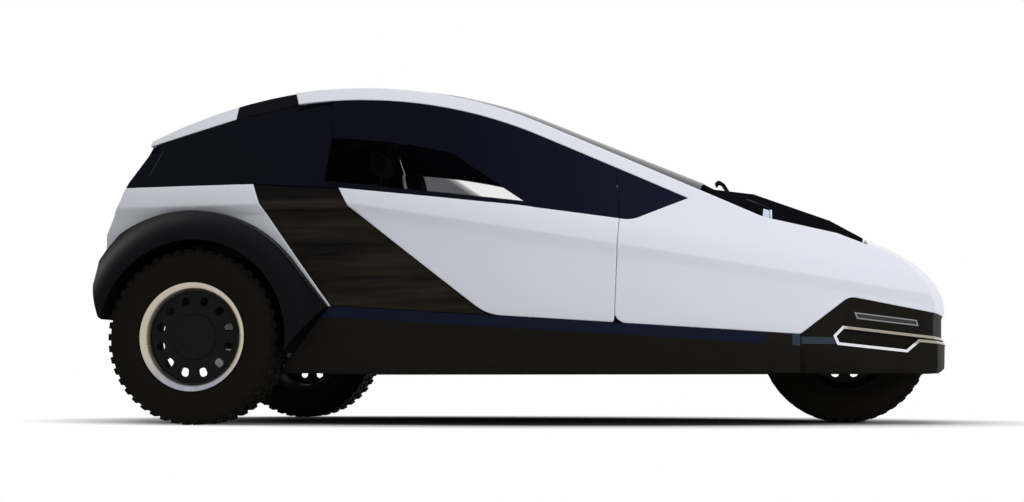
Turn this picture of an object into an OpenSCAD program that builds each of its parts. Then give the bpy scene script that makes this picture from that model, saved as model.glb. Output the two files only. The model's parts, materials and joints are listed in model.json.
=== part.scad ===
// Three wheeled car: one steered wheel in the nose, two driven wheels behind.
// +X is forward, +Y is the car's left, +Z is up. The origin is on the ground,
// under the middle of the car. All lengths are in millimetres.

/* [Wheels] */
// Outside diameter of the tyres, over the lugs
tyre_d = 700; // [660:5:720]
// Width of the tyres
tyre_w = 225; // [195:5:235]
// Diameter of the rim's outer flange
rim_d = 436; // [410:2:450]
// Height of the tread lugs
lug_h = 11; // [6:1:16]
// Tread lugs around each tyre
lug_count = 40; // [30:2:48]
// Windows around each wheel's disc
window_count = 12; // [8:1:14]
// Distance between the rear tyres' middle planes
track = 1560; // [1520:5:1600]
// Distance from the rear axle to the front axle
wheelbase = 2570; // [2540:5:2590]

/* [Steering] */
// Lean of the steering axis, back from the vertical
rake = 20; // [16:1:24]
// Diameter of the fork's stem
stem_d = 46; // [36:1:56]

/* [Body] */
// Overall length
body_l = 3470; // [3450:5:3500]
// Distance from the tail to the rear axle
rear_overhang = 485; // [470:5:500]
// Width over the flanks, without the arch flares
body_w = 1600; // [1570:5:1630]
// Height of the roof rails
roof_h = 1400; // [1380:5:1420]
// Height of the floor above the ground
clearance_h = 205; // [190:1:225]
// Radius of the flanks in plan
plan_r = 6000; // [5800:50:6000]
// Lean of the front flanks' crease, nose down
crease_tilt = 9; // [8:0.25:10]
// Height of the flanks' crease at the B pillar
crease_h = 880; // [860:5:900]
// Half the width of the roof and the windscreen between the rails
rail_y = 400; // [380:5:410]
// Height of a roof rail seen from the side
rail_h = 58; // [45:1:70]
// Thickness of the fixed body walls
wall = 60; // [45:1:70]
// Thickness of the doors
door_wall = 95; // [80:1:110]
// Depth of the front bumper's inner face, clear of the steered wheel
bumper_wall = 36; // [32:1:38]
// Thickness of the glass
glass = 6; // [4:1:8]

/* [Clearances] */
// Gap round a door or the hatch
shut_gap = 7; // [6:0.5:9]
// Gap between fixed panels
seam = 0.5; // [0.3:0.1:0.8]
// Radial running clearance of the wheel and steering bearings
bearing_gap = 0.08; // [0.05:0.01:0.1]

/* [Hidden] */
$fn = 240;

white = "#dfe3ee";
black = "#1b1a18";
gloss = "#12141c";
tint = "#171c2c";
chrome = "#c9ccd2";

// Axles
rear_x = rear_overhang - body_l / 2;
front_x = rear_x + wheelbase;
axle_z = tyre_d / 2;

// The flank is a surface of revolution with an upright axis far across the car.
// Its section has rows of [height over the crease, inset from the widest line].
widest_x = -600;
crease_at = [-660, crease_h];
flank_section = [[-760, 108], [-480, 44], [-250, 18], [-36, 16], [6, 0], [75, 27], [640, 378]];

// The roof rail's upper edge: an arc that runs into a straight screen pillar.
roof_r = 1900;
roof_mid_x = -680;
screen_lean = 24;
roof_centre = [roof_mid_x, roof_h - roof_r];
pillar_start = roof_centre + roof_r * [sin(screen_lean), cos(screen_lean)];
function roof_z(x) = x < pillar_start[0]
    ? roof_centre[1] + sqrt(pow(roof_r, 2) - pow(x - roof_mid_x, 2))
    : pillar_start[1] - (x - pillar_start[0]) * tan(screen_lean);

// Small drawing functions
function unit(v) = v / norm(v);
function flat(v) = [v[0], v[1]];
function along(a, b, t) = a + (b - a) * t;
function arc(centre, r, a0, a1, n) =
    [for (i = [0:n]) centre + r * [cos(along(a0, a1, i / n)), sin(along(a0, a1, i / n))]];
function turn(a, b) = b - a > 180 ? b - a - 360 : b - a < -180 ? b - a + 360 : b - a;
function corner(p, v, q, r, n = 6) = let(
        a = unit(flat(p) - flat(v)), b = unit(flat(q) - flat(v)), half = acos(a * b) / 2,
        centre = flat(v) + unit(a + b) * r / sin(half),
        from = flat(v) + a * r / tan(half) - centre, to = flat(v) + b * r / tan(half) - centre,
        a0 = atan2(from[1], from[0]), sweep = turn(a0, atan2(to[1], to[0])))
    r == 0 ? [flat(v)] : arc(centre, r, a0, a0 + sweep, n);
// Rounds the corners of an outline whose rows are [x, z, corner radius]
function rounded(rows) = let(n = len(rows))
    [for (i = [0:n - 1]) each corner(rows[(i + n - 1) % n], rows[i], rows[(i + 1) % n], rows[i][2])];
// Points of the roof rail's arc, lowered by drop, from x0 to x1
function roof_arc(x0, x1, drop, n = 10) =
    [for (i = [0:n]) let(x = along(x0, x1, i / n)) [x, roof_z(x) - drop]];
// A point of the screen pillar's straight edge, lowered by drop
function roof_point(x, drop) = [x, roof_z(x) - drop];

// Ground shapes
module both_sides() {
    children();
    mirror([0, 1, 0]) children();
}
// A side outline, drawn in x and z, cut through the right half of the car
module side_cut(y0 = 0, y1 = 1200) {
    translate([0, -y0, 0]) rotate([90, 0, 0]) linear_extrude(y1 - y0) children();
}
// A side outline cut through the whole car
module through_cut(half = 1200) {
    rotate([90, 0, 0]) linear_extrude(2 * half, center = true) children();
}
// A wall of the right flank, from inset d0 to inset d1, leaning nose down by tilt about pivot
module flank_wall(d0, d1, tilt = 0, pivot = crease_at, section = flank_section) {
    last = len(section) - 1;
    translate([pivot[0], 0, pivot[1]]) rotate([0, tilt, 0])
        translate([widest_x - pivot[0], plan_r - body_w / 2, 0])
            rotate_extrude(angle = 56, start = 242) polygon([
                for (row = section) [plan_r - row[1] - d0, row[0]],
                for (i = [last:-1:0]) [plan_r - section[i][1] - d1, section[i][0]]
            ]);
}
module front_wall(d0, d1) { flank_wall(d0, d1, crease_tilt); }
module rear_wall(d0, d1) { flank_wall(d0, d1); }
// Everything inside both flanks at an inset
module inside_front(d) {
    intersection() {
        front_wall(d, plan_r / 3);
        mirror([0, 1, 0]) front_wall(d, plan_r / 3);
    }
}
module inside_rear(d) {
    intersection() {
        rear_wall(d, plan_r / 3);
        mirror([0, 1, 0]) rear_wall(d, plan_r / 3);
    }
}
// A crowned layer between the rails, from depth d0 to d1 under the skin, from x0 to x1.
// It turns about a line along the car, so that it meets the rails' upper edges.
crown_axis_z = -100;
function crown_r(x) = norm([roof_z(x) - crown_axis_z, rail_y]);
module crown_layer(x0, x1, d0, d1, half_y, n = 12) {
    intersection() {
        translate([0, 0, crown_axis_z]) rotate([0, 90, 0])
            rotate_extrude(angle = 60, start = 150) polygon([
                for (i = [0:n]) let(x = along(x0, x1, i / n)) [crown_r(x) - d0, x],
                for (i = [n:-1:0]) let(x = along(x0, x1, i / n)) [crown_r(x) - d1, x]
            ]);
        translate([x0 - 50, -half_y, 0]) cube([x1 - x0 + 100, 2 * half_y, 2 * roof_h]);
    }
}
// The nose turns about an upright axis: rows of [radius, height] of its section at an inset
nose_r = 900;
nose_low = 470;
nose_high = 388;
nose_axis_x = body_l / 2 - nose_r;
function nose_section(d) = concat(
    [[nose_r - d - 20, 150], [nose_r - d + 1, 232], [nose_r - d + 4, 322], [nose_r - d - 10, 346],
        [nose_r - d - 8, 430], [nose_r - d, 452]],
    [for (a = [0:7.5:75]) [(nose_r - d) * cos(a), nose_low + (nose_high - d) * sin(a)]]);
module nose_turn(section, half = 50) {
    translate([nose_axis_x, 0, 0]) rotate_extrude(angle = 2 * half, start = -half) polygon(section);
}
module nose_wall(d0, d1) {
    inner = nose_section(d1);
    nose_turn([each nose_section(d0), for (i = [len(inner) - 1:-1:0]) inner[i]]);
}
module nose_solid(d) {
    outer = nose_section(d);
    nose_turn([[100, 150], each outer, [100, outer[len(outer) - 1][1]]], 75);
}
// Everything outside the nose, ahead of the hood
module nose_outside() {
    outer = nose_section(0);
    intersection() {
        nose_turn([each outer, [200, 1100], [nose_r + 400, 1100], [nose_r + 400, 150]]);
        translate([hood_front[0], -1000, 0]) cube([1000, 2000, 1200]);
    }
}
// The tail turns about an upright axis too: rows of [height, inset from the rearmost line]
tail_r = 6500;
tail_section = [[380, 44], [520, 14], [640, 0], [780, 0], [845, 29], [905, 55], [990, 80], [1240, 219]];
module tail_wall(d0, d1) {
    last = len(tail_section) - 1;
    translate([tail_r - body_l / 2, 0, 0]) rotate_extrude(angle = 20, start = 170) polygon([
        for (row = tail_section) [tail_r - row[1] - d0, row[0]],
        for (i = [last:-1:0]) [tail_r - tail_section[i][1] - d1, tail_section[i][0]]
    ]);
}

// Lines that neighbouring panels share, as [x, z]
belt = [[-685, 948], [40, 871], [436, 818]];
belt_back = [-1049, 973];
pillar_kink = [-640, 872];
pillar_low = [-83, 435];
door_low_x = 415;
tip = [699, 908];
rail_back_x = -938;
sill_top = [-716, 474];
sill_lean = 3.52;
function sill_z(x) = sill_top[1] - (x - sill_top[0]) * tan(sill_lean);
door_low = [door_low_x, sill_z(door_low_x)];
sill_front_x = 1138;
bumper_bend = [1334, 511];
bumper_front = [1704, 442];
white_front = [1800, 424];
hood_bend = [999, 833];
hood_front = [1412, 744];
flare_centre = [-1300, 312];
flare_r = 553;
flare_corner = [-725, 471];
flare_foot = [-925, 215];
flare_tail = [-1640, 432];

function raise(p, dz, r = 0) = [p[0], p[1] + dz, r];

// Side outlines
module rail_shape() {
    offset(delta = -seam / 2) polygon(concat(
        roof_arc(rail_back_x, pillar_start[0], 0), [roof_point(725, 0), roof_point(tip[0], rail_h)],
        roof_arc(pillar_start[0], rail_back_x + 21, rail_h)));
}
module flank_shape() {
    offset(delta = -seam / 2) polygon(rounded([
        [725, roof_z(725), 0], raise(hood_bend, 0, 260), raise(hood_front, 0), [1800, 700, 0],
        raise(white_front, 0), raise(bumper_bend, 0, 60), [sill_front_x, sill_z(sill_front_x), 30],
        raise(door_low, 0, 45), raise(belt[2], 0), [482, 812, 110], raise(tip, 0)]));
}
module door_shape() {
    offset(delta = -shut_gap) polygon(rounded([
        raise(belt[0], shut_gap), raise(pillar_kink, 0, 20), raise(pillar_low, 0, 180),
        raise(door_low, 0, 45), raise(belt[2], shut_gap), raise(belt[1], shut_gap, 400)]));
}
module door_window_shape() {
    drop = seam - shut_gap;
    offset(delta = -shut_gap) polygon(concat(
        rounded([raise(belt[0], drop), raise(belt[1], drop, 400), raise(belt[2], drop)]),
        [roof_point(412, rail_h)], roof_arc(pillar_start[0], -775, rail_h)));
}
module quarter_light_shape() {
    offset(delta = -seam / 2) polygon(concat(
        rounded([raise(belt[2], 0), [482, 812, 110], raise(tip, 0)]), [roof_point(412, rail_h)]));
}
module rear_side_shape() {
    offset(delta = -seam / 2) polygon(concat(
        [[-1608, 976], belt_back, belt[0]], roof_arc(-775, rail_back_x + 21, rail_h + 1, 2),
        [[hatch_x, shoulder_z], [-1509, spoiler_z + 17]]));
}
module pillar_shape() {
    offset(delta = -seam / 2) polygon([
        belt_back, belt[0], pillar_kink, pillar_low, sill_top, [-1012, 890]]);
}
quarter_top = 975;
quarter_low = 600;
module quarter_shape() {
    offset(delta = -seam / 2) difference() {
        polygon([[-1800, quarter_low], [-1800, quarter_top], [-1622, quarter_top], belt_back, [-1012, 890],
            sill_top, flare_corner, [-1300, 500]]);
        flare_region();
    }
}
module flare_region() {
    polygon(concat(arc(flare_centre, flare_r, 22, 124, 28), [[-1658, 718], [-1697, 664], [-1694, 560],
        flare_tail, [-1500, 300], flare_foot, flare_corner]));
}
module sill_shape() {
    offset(delta = -seam / 2) polygon([
        flare_corner + [4, -2], sill_top, [sill_front_x, sill_z(sill_front_x)],
        [sill_front_x, clearance_h], [flare_foot[0] + 24, clearance_h], flare_foot + [24, 29]]);
}
module bumper_shape() {
    offset(delta = -seam / 2) polygon(rounded([
        [sill_front_x, sill_z(sill_front_x), 30], raise(bumper_bend, 0, 60), raise(white_front, 0),
        [1800, clearance_h + 60, 0], [1690, clearance_h, 0], [sill_front_x, clearance_h, 0]]));
}
module nose_shape() {
    offset(delta = -seam / 2) polygon([
        hood_front, [1800, 800], white_front, bumper_front, [hood_front[0], 494]]);
}

// Fixed body
module inside_sills(d) {
    intersection() {
        flank_wall(d, plan_r / 3, sill_lean, sill_top, sill_section);
        mirror([0, 1, 0]) flank_wall(d, plan_r / 3, sill_lean, sill_top, sill_section);
    }
}
toe_x = 895;
bay_half = 606;
dash_x = 700;
module floor_pan() color(black) {
    intersection() {
        translate([-790, -900, clearance_h]) cube([toe_x + 15 + 790, 1800, 20]);
        inside_sills(sill_wall + seam);
    }
    intersection() {
        through_cut() polygon([[toe_x, clearance_h], [toe_x + 15, clearance_h], [toe_x + 15, 760],
            [toe_x, 760], [toe_x, 560], [dash_x + 15, 560], [dash_x + 15, 880], [dash_x + seam, 886],
            [dash_x + seam, 545], [toe_x, 545]]);
        inside_front(wall + seam);
        inside_sills(sill_wall + seam);
    }
    intersection() {
        translate([-790, -800, clearance_h]) cube([15, 1600, 410]);
        inside_rear(wall + seam);
        inside_sills(sill_wall + seam);
    }
    translate([-1640, -bay_half - 12, 600]) cube([865, 2 * bay_half + 24, 15]);
    both_sides() translate([-1590, -bay_half - 12, 440]) cube([814, 12, 470]);
}
module battery_pack() color("#2b2e33")
    translate([-700, -520, clearance_h + 20 + seam]) cube([1000, 1040, 80]);
module drive_unit() color("#4a4d52") {
    translate([rear_x - 170, -200, 230]) cube([340, 400, 370 - seam]);
}
spindle_d = 52;
hub_in = track / 2 - 60;
module rear_axle() color("#3a3c40") both_sides() {
    translate([rear_x, -200 - seam, axle_z]) rotate([90, 0, 0]) cylinder(d = 80, h = hub_in - 200 - 10);
    translate([rear_x, -hub_in + 20, axle_z]) rotate([90, 0, 0]) cylinder(d = spindle_d, h = 95);
    translate([rear_x, -470, axle_z - 40]) cube([-790 - seam - rear_x, 60, 80]);
}
crown_d = 385;
pin_d = 32;
head_d = 92;
head_h = 56;
fork_y = tyre_w / 2 + 22;
module on_steering_axis() {
    translate([front_x, 0, axle_z]) rotate([0, -rake, 0]) children();
}
module steering_head() color("#33353a") difference() {
    union() {
        on_steering_axis() translate([0, 0, crown_d + 46]) cylinder(d = head_d, h = head_h);
        through_cut(head_d / 2 + 20) union() {
            translate([toe_x + 15 + seam, 690]) square([165, 55]);
            translate([front_x, axle_z]) rotate(rake)
                translate([-130, crown_d + 50]) square([112, head_h - 8]);
        }
    }
    on_steering_axis() translate([0, 0, crown_d - 50]) cylinder(d = stem_d + 2 * bearing_gap, h = 300);
}
sill_wall = 118;
sill_section = [[700, 60], [0, 34], [-45, 6], [-360, 36]];
module sills() color(black) both_sides() intersection() {
    flank_wall(0, sill_wall, sill_lean, sill_top, sill_section);
    side_cut() sill_shape();
}
post_x = 449;
post_w = 50;
lip = 8;
module rails() color(white) both_sides() intersection() {
    front_wall(0, 170);
    side_cut(rail_y + seam / 2) rail_shape();
    rear_wall(-10, 600);
}
// The flank is thin at the door, so that the door's front edge can swing in behind it
module flanks() color(white) both_sides() {
    difference() {
        intersection() {
            front_wall(0, wall);
            side_cut() intersection() {
                flank_shape();
                translate([post_x, 0]) square(2000);
            }
        }
        nose_outside();
    }
    intersection() {
        front_wall(0, lip);
        side_cut() intersection() {
            flank_shape();
            square([post_x, 2000]);
        }
    }
}
module hinge_posts() color(black) both_sides() intersection() {
    front_wall(wall + seam, wall + 75);
    side_cut() translate([post_x, 415]) square([post_w, 385]);
}
hatch_half = 575;
module quarters() color(white) both_sides() {
    intersection() {
        rear_wall(0, wall);
        side_cut() quarter_shape();
        tail_wall(0, 3000);
    }
    intersection() {
        rear_wall(1, 260);
        tail_wall(0, 45);
        translate([-1900, -900, quarter_low + seam])
            cube([400, 900 - hatch_half - shut_gap, quarter_top - quarter_low - 2 * seam]);
    }
}
// The flare's section: rows of [radius from the axle, distance from the car's middle]
flare_section = [[384, 690], [384, 896], [392, 904], [415, 904], [445, 890], [475, 862], [505, 822], [535, 788],
    [580, 764], [660, 742], [660, 690]];
module arches() color(black) both_sides() intersection() {
    translate([rear_x, 0, axle_z]) rotate([90, 0, 0]) rotate_extrude(angle = 220, start = -40)
        polygon(flare_section);
    side_cut() offset(delta = -seam / 2) flare_region();
}
module pillars() color(gloss) both_sides() {
    intersection() {
        rear_wall(6, wall);
        side_cut() pillar_shape();
    }
    // Corner post between the side glass and the hatch
    intersection() {
        rear_wall(2, 200);
        tail_wall(0, 12);
        translate([-1900, -900, quarter_top + seam / 2])
            cube([400, 900 - hatch_half - shut_gap, spoiler_z - 4 - quarter_top - seam / 2]);
    }
}
module rear_side_glass() color(tint) both_sides() intersection() {
    rear_wall(2, 2 + glass);
    side_cut() rear_side_shape();
}
module quarter_lights() color(tint) both_sides() intersection() {
    front_wall(2, 2 + glass);
    side_cut() quarter_light_shape();
}
screen_top_x = -262;
hatch_x = -1190;
shoulder_z = roof_h - 130;
module roof_panel() color(gloss) {
    crown_layer(hatch_x + seam, screen_top_x, 0, 30, rail_y - seam / 2);
    both_sides() intersection() {
        rear_wall(0, 240);
        side_cut(rail_y - 1) offset(delta = -seam / 2) polygon(concat(
            roof_arc(hatch_x + seam, rail_back_x, 0, 4),
            [[rail_back_x + 21, roof_z(rail_back_x + 21) - rail_h], [hatch_x + seam, shoulder_z]]));
    }
}
module windscreen() color(tint)
    crown_layer(screen_top_x + seam, 742, 0, glass, rail_y - seam / 2);
hood_half = 190;
hood_top = [[743, 1004], [790, 979], [954, 956], [1266, 840], [1400, 764]];
module cowl() color(gloss) difference() {
    union() {
        intersection() {
            through_cut() polygon([[743, 898], [999, 786], [1400, 702], [1400, 716], [999, 800], [743, 912]]);
            inside_front(wall + seam);
        }
        through_cut(hood_half) polygon([[743, 912], each hood_top, [1400, 716], [999, 800]]);
    }
    through_cut(hood_half - 14) polygon([
        [765, 600], [765, 972], [796, 960], [950, 938], [1260, 822], [1380, 748],
        [1380, 724], [1401, 724], [1401, 600]]);
}
module nose() color(white) intersection() {
    nose_wall(0, 40);
    through_cut() nose_shape();
    inside_front(wall + seam);
}
// A layer of the bumper from inset d0 to d1: both flanks and the nose between them
module bumper_layer(d0, d1) {
    both_sides() intersection() {
        front_wall(d0, d1);
        nose_solid(d0);
    }
    intersection() {
        nose_wall(d0, d1);
        inside_front(d0);
    }
}
// The intake's mouth, which runs across the front, and the slots of the lamps over it
trim_w = 11;
module intake_shape() {
    polygon([[1900, 329], [1306, 394], [1268, 355], [1284, 318], [1562, 289], [1612, 331], [1900, 305]]);
}
module lamp_slot() {
    polygon([[1354, 447], [1600, 418], [1606, 396], [1364, 423]]);
}
module front_bumper() color(black) difference() {
    intersection() {
        bumper_layer(4, bumper_wall);
        through_cut() bumper_shape();
    }
    intersection() {
        bumper_layer(-2, 22);
        through_cut() offset(delta = -trim_w) intake_shape();
    }
    both_sides() intersection() {
        front_wall(-2, 18);
        side_cut() lamp_slot();
    }
}
module intake_trim() color(chrome) intersection() {
    bumper_layer(0, 4 - seam);
    through_cut() difference() {
        intake_shape();
        offset(delta = -trim_w) intake_shape();
    }
}
// Lamp pods that stand on the deck, in the recess beside the hood
pod_front = 1022;
module head_lamps() color(black) both_sides() side_cut(220, 330)
    polygon([[925, 833], [925, 924], [pod_front, 884], [pod_front, 796.5], [999, 801]]);
module head_lamp_lenses() color("#e8f0ff") both_sides()
    translate([pod_front + seam, -325, 812]) cube([8, 100, 64]);
module bumper_lamps() color("#d8dde6") both_sides() intersection() {
    front_wall(8, 18 - seam);
    side_cut() offset(delta = -4) lamp_slot();
}
// Spoiler between the roof and the hatch, with the pins that carry the hatch
spoiler_back = -1560;
spoiler_z = roof_h - 242;
hatch_pin = [-1550, spoiler_z - 20];
hatch_pin_d = 12;
hatch_pin_y = 300;
module spoiler() color(white) difference() {
    union() {
        crown_layer(spoiler_back, hatch_x - seam, 0, 42, rail_y);
        intersection() {
            crown_layer(spoiler_back, -1500, 0, 160, rail_y);
            translate([-1600, -rail_y, spoiler_z]) cube([110, 2 * rail_y, 200]);
        }
        both_sides() {
            intersection() {
                rear_wall(0, 260);
                side_cut(rail_y - 1) polygon(concat(roof_arc(spoiler_back, hatch_x - seam, 0, 6),
                    [[hatch_x - seam, shoulder_z + seam], [-1540, spoiler_z + 8 + seam], [spoiler_back, spoiler_z + 2]]));
            }
            translate([hatch_pin[0] - 14, -hatch_pin_y - 30, hatch_pin[1] - 8]) cube([28, 10, 36]);
            translate([hatch_pin[0], -hatch_pin_y + 18, hatch_pin[1]]) rotate([90, 0, 0])
                cylinder(d = hatch_pin_d, h = 40);
        }
    }
    translate([-1480, -330, 1000]) cube([240, 660, 600]);
}
module rear_window() color(tint) intersection() {
    crown_layer(-1480, -1240, 4, 4 + glass, 330 - seam);
    translate([-1480 + seam, -330, 1000]) cube([240 - 2 * seam, 660, 600]);
}
module rear_bumper_wall() intersection() {
    tail_wall(0, 55);
    through_cut() polygon([[-1900, 432], [-1600, 432], [-1600, 600], [-1900, 600]]);
    inside_rear(wall + seam);
}
// Blind bore for the towing eye, in a boss with a flat face
tow_at = [-body_l / 2 + 16, -380, 545];
tow_d = 22;
tow_depth = 42;
module rear_bumper() color(black) difference() {
    union() {
        rear_bumper_wall();
        translate(tow_at) rotate([0, 90, 0]) cylinder(d = 54, h = tow_depth + 14);
    }
    translate(tow_at) rotate([0, 90, 0]) cylinder(d = tow_d, h = 2 * tow_depth, center = true);
}
module seats() color("#24262b") both_sides() {
    side_cut(110, 580) polygon(rounded([
        [170, 306, 36], [190, 400, 46], [-300, 440, 60], [-560, 1010, 40], [-640, 1000, 40], [-440, 306, 60]]));
    side_cut(250, 440) polygon(rounded([
        [-558, 1036, 20], [-590, 1150, 26], [-664, 1146, 26], [-640, 1036, 20]]));
    for (y = [300, 390]) translate([-600, -y, 960]) cylinder(d = 14, h = 110);
}
module dash_shape() {
    polygon(rounded([
        [dash_x, 560, 20], [dash_x, 790, 20], [560, 800, 40], [450, 740, 40], [470, 620, 40], [560, 560, 30]]));
}
module dashboard() color("#202226") through_cut(500) dash_shape();
hand_wheel_at = [330, 340, 760];
hand_wheel_lean = 65;
module hand_wheel() color("#17181b") difference() {
    translate(hand_wheel_at) rotate([0, -hand_wheel_lean, 0]) {
        rotate_extrude() translate([170, 0]) circle(d = 30, $fn = 32);
        cylinder(d = 90, h = 30, center = true);
        for (a = [0:120:359]) rotate(a) translate([30, -15, -8]) cube([135, 30, 16]);
        translate([0, 0, -200]) cylinder(d = 46, h = 200);
    }
    through_cut() offset(delta = seam) dash_shape();
}
// Arm of the wiper: a hook that stands on the hood
module wiper() color(black) side_cut(44, 60) polygon(rounded([
    [838, 973, 0], [858, 970.2, 0], [828, 1018, 12], [804, 1034, 10], [786, 1022, 8], [790, 1002, 3],
    [799, 1003, 3], [802, 1014, 5], [814, 1009, 8]]));

// Wheels, drawn about their own axle along +Y, outer face towards -Y
rim_r = rim_d / 2;
tread_r = tyre_d / 2 - lug_h;
bead_y = tyre_w / 2 - 13;
bead_gap = 0.3;
// Rows of [radius, distance from the wheel's middle] of one half of the tyre
tyre_rows = [[rim_r - 14, bead_y], [rim_r + 4, bead_y + 0.5], [rim_r + 32, tyre_w / 2 - 4],
    [(rim_r + tread_r) / 2 + 12, tyre_w / 2], [tread_r - 21, tyre_w / 2 - 2], [tread_r, tyre_w / 2 - 14]];
lug_w = 24;
lug_end = tyre_w / 2 - 20;
lug_over = 24;
module tyre() color("#1d1b18") rotate([-90, 0, 0]) {
    rotate_extrude($fn = 96) polygon([
        for (row = tyre_rows) [row[0], -row[1]],
        for (i = [len(tyre_rows) - 1:-1:0]) tyre_rows[i]]);
    for (i = [0:lug_count - 1]) rotate(i * 360 / lug_count)
        translate([tread_r - 12, -lug_w / 2, i % 2 == 0 ? -lug_end : -lug_over])
            cube([lug_h + 12, lug_w, lug_end + lug_over]);
}
hub_r = 75;
cap_r = 92;
disc_y = tyre_w / 2 - 40;
lip_w = 40;
// A window of the disc: a trapezoid with round corners, wider towards the rim
module rim_window() {
    inner = cap_r + 30;
    outer = rim_r - lip_w - 8;
    polygon(rounded([[inner, -15, 9], [outer, -21, 11], [outer, 21, 11], [inner, 15, 9]]));
}
module rim(bore_d, bore_from = 12 - disc_y) color("#9a9da3") rotate([-90, 0, 0]) difference() {
    rotate_extrude($fn = 96) polygon([
        [0, -disc_y - 8], [cap_r - 6, -disc_y - 8], [cap_r, -disc_y - 2], [cap_r, -disc_y],
        [rim_r - lip_w, -disc_y + 2], [rim_r - lip_w + 6, -bead_y - 2], [rim_r - 20, -bead_y - 6.5],
        [rim_r, -bead_y - 6.5], [rim_r, -bead_y - 0.5 - bead_gap], [rim_r - 14 - bead_gap, -bead_y - bead_gap],
        [rim_r - 14 - bead_gap, bead_y + bead_gap], [rim_r, bead_y + 0.5 + bead_gap], [rim_r, bead_y + 6.5],
        [rim_r - 20, bead_y + 6.5],
        [rim_r - 28, bead_y - 40], [rim_r - 28, 16 - disc_y + 6], [cap_r, 16 - disc_y], [hub_r, 30 - disc_y],
        [hub_r, 40], [0, 40]]);
    translate([0, 0, bore_from]) cylinder(d = bore_d, h = 400);
    for (i = [0:window_count - 1]) rotate(i * 360 / window_count)
        translate([0, 0, -disc_y - 40]) linear_extrude(80) rim_window();
}
module at_rear_right() { translate([rear_x, -track / 2, axle_z]) children(); }
module at_front() { translate([front_x, 0, axle_z]) children(); }
module tyre_rear_right() { at_rear_right() tyre(); }
module rim_rear_right() { at_rear_right() rim(spindle_d + 2 * bearing_gap); }
module tyre_rear_left() { mirror([0, 1, 0]) tyre_rear_right(); }
module rim_rear_left() { mirror([0, 1, 0]) rim_rear_right(); }
module tyre_front() { at_front() tyre(); }
module rim_front() { at_front() rim(pin_d + 2 * bearing_gap, -200); }
module front_fork() color("#33353a") {
    on_steering_axis() {
        both_sides() translate([-24, -fork_y - 34, -30]) cube([48, 34, crown_d + 30]);
        translate([-30, -fork_y - 34, crown_d - 1]) cube([60, 2 * fork_y + 68, 40]);
        translate([0, 0, crown_d]) cylinder(d = stem_d, h = 46 + head_h + 6);
    }
    at_front() rotate([90, 0, 0]) cylinder(d = pin_d, h = 2 * fork_y + 10, center = true);
}

// Doors and hatch
hinge_at = [376, -672];
hinge_pin_d = 12;
hinge_heights = [452, 640];
arm_h = 13;
knuckle_h = 18;
module at_hinges() {
    for (z = hinge_heights) translate([hinge_at[0], hinge_at[1], z]) children();
}
// Fixed hinge halves: an arm from the hinge post round to an upright pin
module door_hinges() color("#33353a") both_sides() at_hinges() {
    linear_extrude(arm_h) {
        circle(d = 16);
        polygon([[-8, 0], [8, 0], [8, 83], [post_x - seam - hinge_at[0], 83],
            [post_x - seam - hinge_at[0], 99], [-8, 99]]);
    }
    cylinder(d = hinge_pin_d, h = arm_h + knuckle_h + 4);
}
module door_right() color(white) difference() {
    union() {
        difference() {
            union() {
                intersection() {
                    front_wall(0, 32);
                    side_cut() door_shape();
                }
                intersection() {
                    front_wall(31, door_wall);
                    side_cut() offset(delta = -14) door_shape();
                }
            }
            // Pockets that the fixed arms reach into
            intersection() {
                front_wall(9, 300);
                at_hinges() translate([-16, -40, -6]) cube([120, 240, arm_h + knuckle_h + 14]);
            }
        }
        at_hinges() translate([0, 0, arm_h + 2]) {
            cylinder(d = 22, h = knuckle_h);
            translate([-24, -11, 0]) cube([24, 16, knuckle_h]);
        }
    }
    at_hinges() cylinder(d = hinge_pin_d + 2 * bearing_gap, h = 60);
}
module door_glass_right() color(tint) intersection() {
    front_wall(2, 2 + glass);
    side_cut() door_window_shape();
}
module door_left() { mirror([0, 1, 0]) door_right(); }
module door_glass_left() { mirror([0, 1, 0]) door_glass_right(); }
module hatch_box(y0, y1, z0, z1) {
    translate([-1900, y0, z0]) cube([400, y1 - y0, z1 - z0]);
}
module hatch_panel() color(white) difference() {
    union() {
        intersection() {
            tail_wall(0, 45);
            hatch_box(-hatch_half, hatch_half, 600 + shut_gap, 978);
        }
        both_sides() {
            intersection() {
                tail_wall(glass + seam, 32);
                hatch_box(-hatch_pin_y - 15, -hatch_pin_y + 15, 970, hatch_pin[1] - 6);
            }
            translate([hatch_pin[0], -hatch_pin_y + 15, hatch_pin[1]]) rotate([90, 0, 0])
                cylinder(d = 24, h = 30);
        }
    }
    both_sides() translate([hatch_pin[0], -hatch_pin_y + 50, hatch_pin[1]]) rotate([90, 0, 0])
        cylinder(d = hatch_pin_d + 2 * bearing_gap, h = 100);
}
module hatch_glass() color(tint) intersection() {
    tail_wall(0, glass);
    hatch_box(-hatch_half, hatch_half, 978 + seam, hatch_pin[1] - 20);
}
module tail_lamps() color("#8c1220") both_sides() intersection() {
    tail_wall(-6, -seam);
    hatch_box(-560, -240, 800, 850);
}

floor_pan();
battery_pack();
drive_unit();
rear_axle();
steering_head();
sills();
rails();
flanks();
hinge_posts();
quarters();
arches();
pillars();
rear_side_glass();
quarter_lights();
roof_panel();
windscreen();
cowl();
nose();
front_bumper();
intake_trim();
head_lamps();
head_lamp_lenses();
bumper_lamps();
spoiler();
rear_window();
door_hinges();
rear_bumper();
seats();
dashboard();
hand_wheel();
wiper();
tyre_rear_right();
rim_rear_right();
tyre_rear_left();
rim_rear_left();
front_fork();
tyre_front();
rim_front();
door_right();
door_glass_right();
door_left();
door_glass_left();
hatch_panel();
hatch_glass();
tail_lamps();
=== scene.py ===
"""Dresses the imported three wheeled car: painted panels, glass, cladding, wheels and cabin."""
import json
import math

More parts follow.
